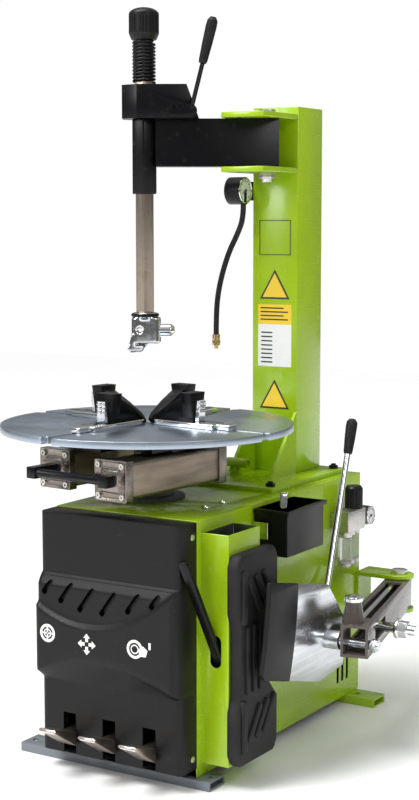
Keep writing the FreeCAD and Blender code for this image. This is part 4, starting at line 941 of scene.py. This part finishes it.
class TYRECHANGER_OT_support_pad(PieceOperator, bpy.types.Operator):
    """Mould the ribbed rubber pad that the wheel leans on."""

    bl_idname = "tyrechanger.support_pad"
    bl_label = "Support pad"

    def build(self, sizes):
        low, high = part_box("support_pad")
        pad = cad_copy("support_pad", "support_pad_moulded")
        bevel(pad, 0.009, 4, 20)
        ribs = []
        height = high.z - low.z
        for start, lean in ((0.80, 34), (0.19, -34)):
            for step in range(3):
                y = low.y + 0.062 + 0.030 * step
                z = low.z + height * start + 0.004 * step
                rib = self.rib(high.x, y - 0.0075, y + 0.0075, z - 0.043, z + 0.043)
                ribs.append(turned_about(rib, (high.x, y, z), "X", math.radians(lean)))
            middle = low.z + height * start
            ribs.append(self.rib(high.x, low.y + 0.012, low.y + 0.030, middle - 0.055, middle + 0.055))
        for y in (low.y + 0.034, low.y + 0.060, low.y + 0.086):
            ribs.append(self.rib(high.x, y - 0.006, y + 0.006,
                                 low.z + height * 0.34, low.z + height * 0.66))
        whole = join("support_pad_ribbed", [pad] + ribs)
        smooth(whole, 40)
        fit(whole, MATERIALS["black_rubber"], "base", "black_rubber", "support_pad")

    def rib(self, face, low_y, high_y, low_z, high_z):
        """One rounded rib on the pad's outer face."""
        return bevel(add_box("rib", (face - 0.006, low_y, low_z), (face + 0.0065, high_y, high_z)), 0.004, 3)


class TYRECHANGER_OT_bead_breaker(PieceOperator, bpy.types.Operator):
    """The blade with its black guard, the arm's rod and bolt, the levers and their fluted grips."""

    bl_idname = "tyrechanger.bead_breaker"
    bl_label = "Bead breaker and grips"

    def build(self, sizes):
        soften("breaker_blade", 0.0018, 3)
        self.guard()
        self.arm_fittings()
        soften("blade_lever", 0.001, 2)
        soften("lock_lever", 0.001, 2)
        self.grip("blade_grip", "blade")
        self.grip("lock_grip", "lock")

    def guard(self):
        """Black moulded guard along the blade's front edge."""
        guard = cad_copy("breaker_blade", "blade_guard")
        edit(guard)
        bpy.ops.mesh.bisect(plane_co=(0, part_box("breaker_blade")[0].y + 0.105, 0),
                            plane_no=(0, 1, -0.06), clear_outer=True, use_fill=True)
        leave_edit()
        recalculate(guard)
        edit(guard)
        bpy.ops.transform.shrink_fatten(value=0.0022)
        leave_edit()
        bevel(guard, 0.0012, 2)
        fit(guard, MATERIALS["black_moulding"], "blade", "black_moulding")

    def arm_fittings(self):
        """The bright adjusting rod in the arm's channel and the knuckle's bolt head."""
        strut = add_bar("breaker_strut", (-0.007, -0.405, 0.292), (-0.007, -0.050, 0.292), 0.0086, 32)
        strut.data.transform(Matrix.Translation(BREAKER_PIVOT) @ Matrix.Rotation(BREAKER_LEAN, 4, "Z"))
        fit(smooth(strut), MATERIALS["cast_chrome"], "breaker", "cast_chrome")
        head = add_bar("knuckle_bolt", (*KNUCKLE, 0.3495), (*KNUCKLE, 0.3618), 0.0206, 40)
        fit(bevel(head, 0.003, 3), MATERIALS["cast_chrome"], "breaker", "zinc")

    def grip(self, node, body):
        """A fluted grip along the CAD grip's own line."""
        points = [v.co.copy() for v in frame["nodes"][node].data.vertices]
        low_end = min(points, key=lambda p: p.z)
        high_end = max(points, key=lambda p: p.z)
        lows = [p for p in points if p.z < low_end.z + 0.010]
        highs = [p for p in points if p.z > high_end.z - 0.010]
        start = sum(lows, Vector()) / len(lows)
        end = sum(highs, Vector()) / len(highs)
        way = (end - start).normalized()
        length = max((p - start).dot(way) for p in points)
        flutes = 20
        rings = ((0.0, 0.0085), (0.06, 0.0100), (0.45, 0.0118), (0.80, 0.0126), (0.92, 0.0118),
                 (1.0, 0.0065))
        bars = []
        for (a, ra), (b, rb) in zip(rings, rings[1:]):
            bars.append(add_bar("grip", start + way * length * a, start + way * length * b,
                                ra, flutes * 2, rb))
        grip = join(node + "_fluted", bars)
        recalculate(grip)
        pick_faces(grip, lambda f: abs(f.normal.dot(way)) < 0.5 and f.area > 1e-5 and f.index % 2 == 0)
        bpy.ops.mesh.inset(thickness=0.0003, depth=-0.0009, use_individual=True)
        leave_edit()
        smooth(grip, 30)
        fit(grip, MATERIALS["black_rubber"], body, "black_rubber", node)


class TYRECHANGER_OT_pedals(PieceOperator, bpy.types.Operator):
    """Rounded pedals, worn bright at their tips."""

    bl_idname = "tyrechanger.pedals"
    bl_label = "Pedals"

    def build(self, sizes):
        for index in (1, 2, 3):
            node = "pedal_%d" % index
            soften(node, 0.0022, 3)
            low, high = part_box(node)
            x = (low.x + high.x) / 2
            half = (high.x - low.x) / 2
            lip = add_bar(node + "_lip", (x - half + 0.003, low.y + 0.0055, high.z - 0.0035),
                          (x + half - 0.003, low.y + 0.0055, high.z - 0.0035), 0.0048, 24)
            fit(bevel(lip, 0.0015, 2), MATERIALS["cast_chrome"], NODE_BODY[node], "pedal_steel")


class TYRECHANGER_OT_hose(PieceOperator, bpy.types.Operator):
    """Hang the inflation hose from its gauge, with its brass nipple."""

    bl_idname = "tyrechanger.hose"
    bl_label = "Inflation hose"

    def build(self, sizes):
        route = [(-16, 199, 1196), (-16, 199, 1163), (-34, 200, 1124), (-55, 201, 1088),
                 (-73, 202, 1042), (-87, 203, 992), (-93, 203, 940), (-93, 203, 888)]
        curve = bpy.data.curves.new("inflation_hose_line", "CURVE")
        curve.dimensions = "3D"
        curve.bevel_depth = sizes.hose / 2
        curve.bevel_resolution = 6
        curve.use_fill_caps = True
        curve.resolution_u = 16
        spline = curve.splines.new("NURBS")
        spline.points.add(len(route) - 1)
        for point, (x, y, z) in zip(spline.points, route):
            point.co = (x * MM, y * MM, z * MM, 1.0)
        spline.order_u = 3
        spline.use_endpoint_u = True
        hose = linked(bpy.data.objects.new("inflation_hose_line", curve))
        curve.materials.append(MATERIALS["black_rubber"])
        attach(hose, "base")
        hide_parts("inflation_hose")
        nipple = soften("hose_end", 0.0006)


class TYRECHANGER_OT_gauges(PieceOperator, bpy.types.Operator):
    """Dials with ticks and a needle, their rims, and the air unit's fittings."""

    bl_idname = "tyrechanger.gauges"
    bl_label = "Gauges and air unit"

    def build(self, sizes):
        soften("gauge_body", 0.002, 3)
        self.dial("inflation_dial", Vector((-0.0118, 0.199, 1.228)), 0.0272, "base")
        soften("air_head", 0.0012)
        self.dial("air_dial", Vector((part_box("air_head")[1].x - 0.0008, 0.324, 0.464)), 0.0190, "base")
        drum = add_bar("air_gauge_case", (0.232, 0.324, 0.464), (0.2588, 0.324, 0.464), 0.0226, 40)
        fit(bevel(drum, 0.001, 2), MATERIALS["black_moulding"], "base", "black_moulding")
        self.bowls()
        self.knob()

    def dial(self, name, centre, radius, body):
        """A dial that faces +X: face, rim, ticks round three quarters and a needle."""
        face = add_bar(name + "_face", centre, centre + Vector((0.0012, 0, 0)), radius, 48)
        fit(smooth(face), MATERIALS["dial_face"], body, "black_moulding")
        rim = add_ring(name + "_rim", centre + Vector((0.0014, 0, 0)), (1, 0, 0),
                       radius + 0.0012, 0.0022)
        fit(smooth(rim), MATERIALS["cast_chrome"], body, "black_moulding")
        marks = []
        for step in range(TICKS):
            long_tick = step % LONG_TICK == 0
            inner = radius * (0.70 if long_tick else 0.80)
            half = 0.0007 if long_tick else 0.0004
            tick = add_box("tick", (centre.x + 0.0011, centre.y - half, centre.z + inner),
                           (centre.x + 0.0016, centre.y + half, centre.z + radius * 0.92))
            angle = -DIAL_SWEEP / 2 + DIAL_SWEEP * step / (TICKS - 1)
            marks.append(turned_about(tick, centre, "X", math.radians(angle)))
        needle = add_bar("needle", centre + Vector((0.0024, 0, -radius * 0.2)),
                         centre + Vector((0.0024, 0, radius * 0.74)), 0.0012, 8, 0.0003)
        marks.append(turned_about(needle, centre, "X", math.radians(118)))
        marks.append(add_bar("hub", centre, centre + Vector((0.0035, 0, 0)), 0.0030, 20))
        fit(join(name + "_marks", marks), MATERIALS["label_black"], body, "black_moulding")

    def bowls(self):
        """Clear bowl and sight tubes with their collars and drain."""
        soften("air_bowls", 0.0015, 3)
        low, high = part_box("air_bowls")
        x = (low.x + high.x) / 2
        collars = []
        for y, radius in ((0.232, 0.0172), (0.264, 0.0102), (0.288, 0.0102)):
            collars.append(add_bar("collar", (x, y, high.z - 0.014), (x, y, high.z + 0.002), radius, 40))
            collars.append(add_bar("foot", (x, y, low.z + 0.002), (x, y, low.z + 0.018),
                                   radius * 0.92, 40))
        group = bevel(join("bowl_collars", collars), 0.0012, 2)
        fit(group, MATERIALS["cast_alloy"], "base", "cast_alloy")

    def knob(self):
        """Regulator knob with finger ridges."""
        low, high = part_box("regulator_knob")
        x, y = (low.x + high.x) / 2, (low.y + high.y) / 2
        radius = (high.x - low.x) / 2
        knob = add_bar("knob", (x, y, low.z), (x, y, high.z - 0.006), radius, 48)
        pick_faces(knob, lambda f: abs(f.normal.z) < 0.5 and f.index % 3 == 0)
        bpy.ops.mesh.inset(thickness=0.0004, depth=-0.0014, use_individual=True)
        leave_edit()
        top = add_bar("top", (x, y, high.z - 0.006), (x, y, high.z), radius * 0.97, 48, radius * 0.8)
        whole = join("regulator_knob_ridged", [knob, top])
        fit(bevel(whole, 0.0006, 1), MATERIALS["black_moulding"], "regulator", "black_moulding",
            "regulator_knob")


class TYRECHANGER_OT_labels(PieceOperator, bpy.types.Operator):
    """Plain stickers with no wording on the column."""

    bl_idname = "tyrechanger.labels"
    bl_label = "Plain stickers"

    def build(self, sizes):
        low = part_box("column")[0]
        y = low.y - 0.0004
        x = low.x + 0.060
        for name, foot, top, finish in (("sticker_white", 0.815, 0.915, "label_white"),
                                        ("sticker_yellow", 0.915, 0.962, "label_yellow")):
            plate = bevel(add_box(name, (x - 0.045, y, foot), (x + 0.045, low.y + 0.001, top)), 0.0003, 1)
            fit(plate, MATERIALS[finish], "base", "green_paint")
        for name, z in (("sign_upper", 0.998), ("sign_lower", 0.738)):
            self.triangle(name, Vector((x, y, z)), 0.046)
        edge = 0.0016
        strokes = [(-0.038, 0.036 - 0.012 * (row % 2), 0.925 + 0.009 * row, 0.928 + 0.009 * row)
                   for row in range(4)]
        strokes += [(-0.036, -0.006, 0.824 + 0.010 * row, 0.827 + 0.010 * row) for row in range(8)]
        strokes += [(-0.042, 0.042, 1.078, 1.078 + edge), (-0.042, 0.042, 1.158, 1.158 + edge),
                    (-0.042, -0.042 + edge, 1.078, 1.1596), (0.042 - edge, 0.042, 1.078, 1.1596)]
        lines = [add_box("line", (x + left, y - 0.0004, foot), (x + right, y + 0.0002, top))
                 for left, right, foot, top in strokes]
        fit(join("sticker_lines", lines), MATERIALS["label_black"], "base", "green_paint")

    def triangle(self, name, centre, size):
        """A blank three-cornered sign with a dark border."""
        for share, rise, finish in ((1.0, 0.0, "label_black"), (0.82, 0.0005, "label_yellow")):
            start = centre + Vector((0, 0.0008, 0))
            end = centre - Vector((0, 0.0002 + rise, 0))
            sign = add_bar(name + "_" + finish, start, end, size * share, 3)
            low_z = min(v.co.z for v in sign.data.vertices)
            high_z = max(v.co.z for v in sign.data.vertices)
            if abs(high_z - centre.z) < abs(low_z - centre.z):
                turned_about(sign, centre, "Y", math.pi)
            fit(sign, MATERIALS[finish], "base", "green_paint")


class TYRECHANGER_OT_stage(bpy.types.Operator):
    """Pale floor, soft lights and the camera."""

    bl_idname = "tyrechanger.stage"
    bl_label = "Stage"

    def execute(self, context):
        self.floor()
        self.lights(context)
        self.camera(context)
        return {"FINISHED"}

    def floor(self):
        deselect()
        bpy.ops.mesh.primitive_plane_add(size=16.0, location=(0, 0, 0))
        floor = named("floor")
        material, shader, place = start_material("Pale floor", {"Specular IOR Level": 0.2})
        tone = place.noise(1.2, 3.0)
        dress(shader, place, Base_Color=tone.mix(rgba((0.93, 0.93, 0.93)), rgba((0.96, 0.96, 0.96))),
              Roughness=0.75 + tone * 0.1)
        paint(floor, material)

    def lights(self, context):
        world = bpy.data.worlds.new("Pale studio")
        world.use_nodes = True
        self.sky(world.node_tree)
        context.scene.world = world
        context.scene.view_settings.view_transform = "Standard"
        for name, place, size, power in (("key", (3.4, -1.6, 3.0), 1.3, 34.0),
                                         ("fill", (-2.2, -3.6, 2.6), 1.6, 60.0),
                                         ("top", (-0.4, -0.4, 3.8), 1.8, 40.0)):
            light = bpy.data.lights.new(name, "AREA")
            light.size = size
            light.energy = power
            lamp = linked(bpy.data.objects.new(name, light))
            lamp.location = place
            way = Vector((0, 0, 0.8)) - Vector(place)
            lamp.rotation_euler = way.to_track_quat("-Z", "Y").to_euler()
        sun = bpy.data.lights.new("sun", "SUN")
        sun.energy = 2.3
        sun.angle = math.radians(25)
        lamp = linked(bpy.data.objects.new("sun", sun))
        lamp.rotation_euler = Vector((0.30, 0.55, -1.0)).to_track_quat("-Z", "Y").to_euler()

    def sky(self, tree):
        """A white backdrop that lights the machine softly from above."""
        start = Socket(tree)
        seen = start.node("ShaderNodeLightPath", output="Is Camera Ray")
        way = start.node("ShaderNodeTexCoord", output="Generated")
        height = way.node("ShaderNodeSeparateXYZ", None, {0: way}, output=2)
        soft = height.between(-0.2, 0.9) * 0.42 + 0.10
        level = soft + (1.0 - soft) * seen
        tree.links.new(level.link, tree.nodes["Background"].inputs["Strength"])
        tree.nodes["Background"].inputs["Color"].default_value = (1.0, 1.0, 1.0, 1.0)

    def camera(self, context):
        data = bpy.data.cameras.new("camera")
        data.lens = 70.61
        data.sensor_width = 36.0
        data.sensor_fit = "AUTO"
        data.clip_end = 50.0
        camera = linked(bpy.data.objects.new("camera", data))
        camera.location = (1.870, -2.995, 1.153)
        camera.rotation_euler = (math.radians(90.0 - 6.437), 0.0, math.radians(31.788))
        context.scene.camera = camera


OPERATORS = (
    TYRECHANGER_OT_finishes, TYRECHANGER_OT_plates, TYRECHANGER_OT_deck_fittings,
    TYRECHANGER_OT_front_cover, TYRECHANGER_OT_spring_and_cap, TYRECHANGER_OT_mounting_head,
    TYRECHANGER_OT_clamp_cylinders, TYRECHANGER_OT_support_pad, TYRECHANGER_OT_bead_breaker,
    TYRECHANGER_OT_pedals,
    TYRECHANGER_OT_hose, TYRECHANGER_OT_gauges, TYRECHANGER_OT_labels, TYRECHANGER_OT_stage,
)


class TYRECHANGER_PT_panel(bpy.types.Panel):
    """Lists the settings and the pieces."""

    bl_idname = "TYRECHANGER_PT_panel"
    bl_label = "Tyre changer"
    bl_space_type = "VIEW_3D"
    bl_region_type = "UI"
    bl_category = "Tyre changer"

    def draw(self, context):
        for group in (context.scene.tyrechanger_sizes, context.scene.tyrechanger_colours):
            for name in group.__annotations__:
                self.layout.prop(group, name)
        for operator in OPERATORS:
            self.layout.operator(operator.bl_idname)


CLASSES = (TYRECHANGER_PG_sizes, TYRECHANGER_PG_colours, *OPERATORS, TYRECHANGER_PT_panel)


def register():
    for cls in CLASSES:
        bpy.utils.register_class(cls)
    bpy.types.Scene.tyrechanger_sizes = bpy.props.PointerProperty(type=TYRECHANGER_PG_sizes)
    bpy.types.Scene.tyrechanger_colours = bpy.props.PointerProperty(type=TYRECHANGER_PG_colours)


def unregister():
    del bpy.types.Scene.tyrechanger_colours
    del bpy.types.Scene.tyrechanger_sizes
    for cls in reversed(CLASSES):
        bpy.utils.unregister_class(cls)


def main():
    register()
    bpy.ops.tyrechanger.finishes()
    bpy.ops.tyrechanger.plates()
    bpy.ops.tyrechanger.deck_fittings()
    bpy.ops.tyrechanger.front_cover()
    bpy.ops.tyrechanger.spring_and_cap()
    bpy.ops.tyrechanger.mounting_head()
    bpy.ops.tyrechanger.clamp_cylinders()
    bpy.ops.tyrechanger.support_pad()
    bpy.ops.tyrechanger.bead_breaker()
    bpy.ops.tyrechanger.pedals()
    bpy.ops.tyrechanger.hose()
    bpy.ops.tyrechanger.gauges()
    bpy.ops.tyrechanger.labels()
    bpy.ops.tyrechanger.stage()
    deselect()


if __name__ == "__main__":
    main()
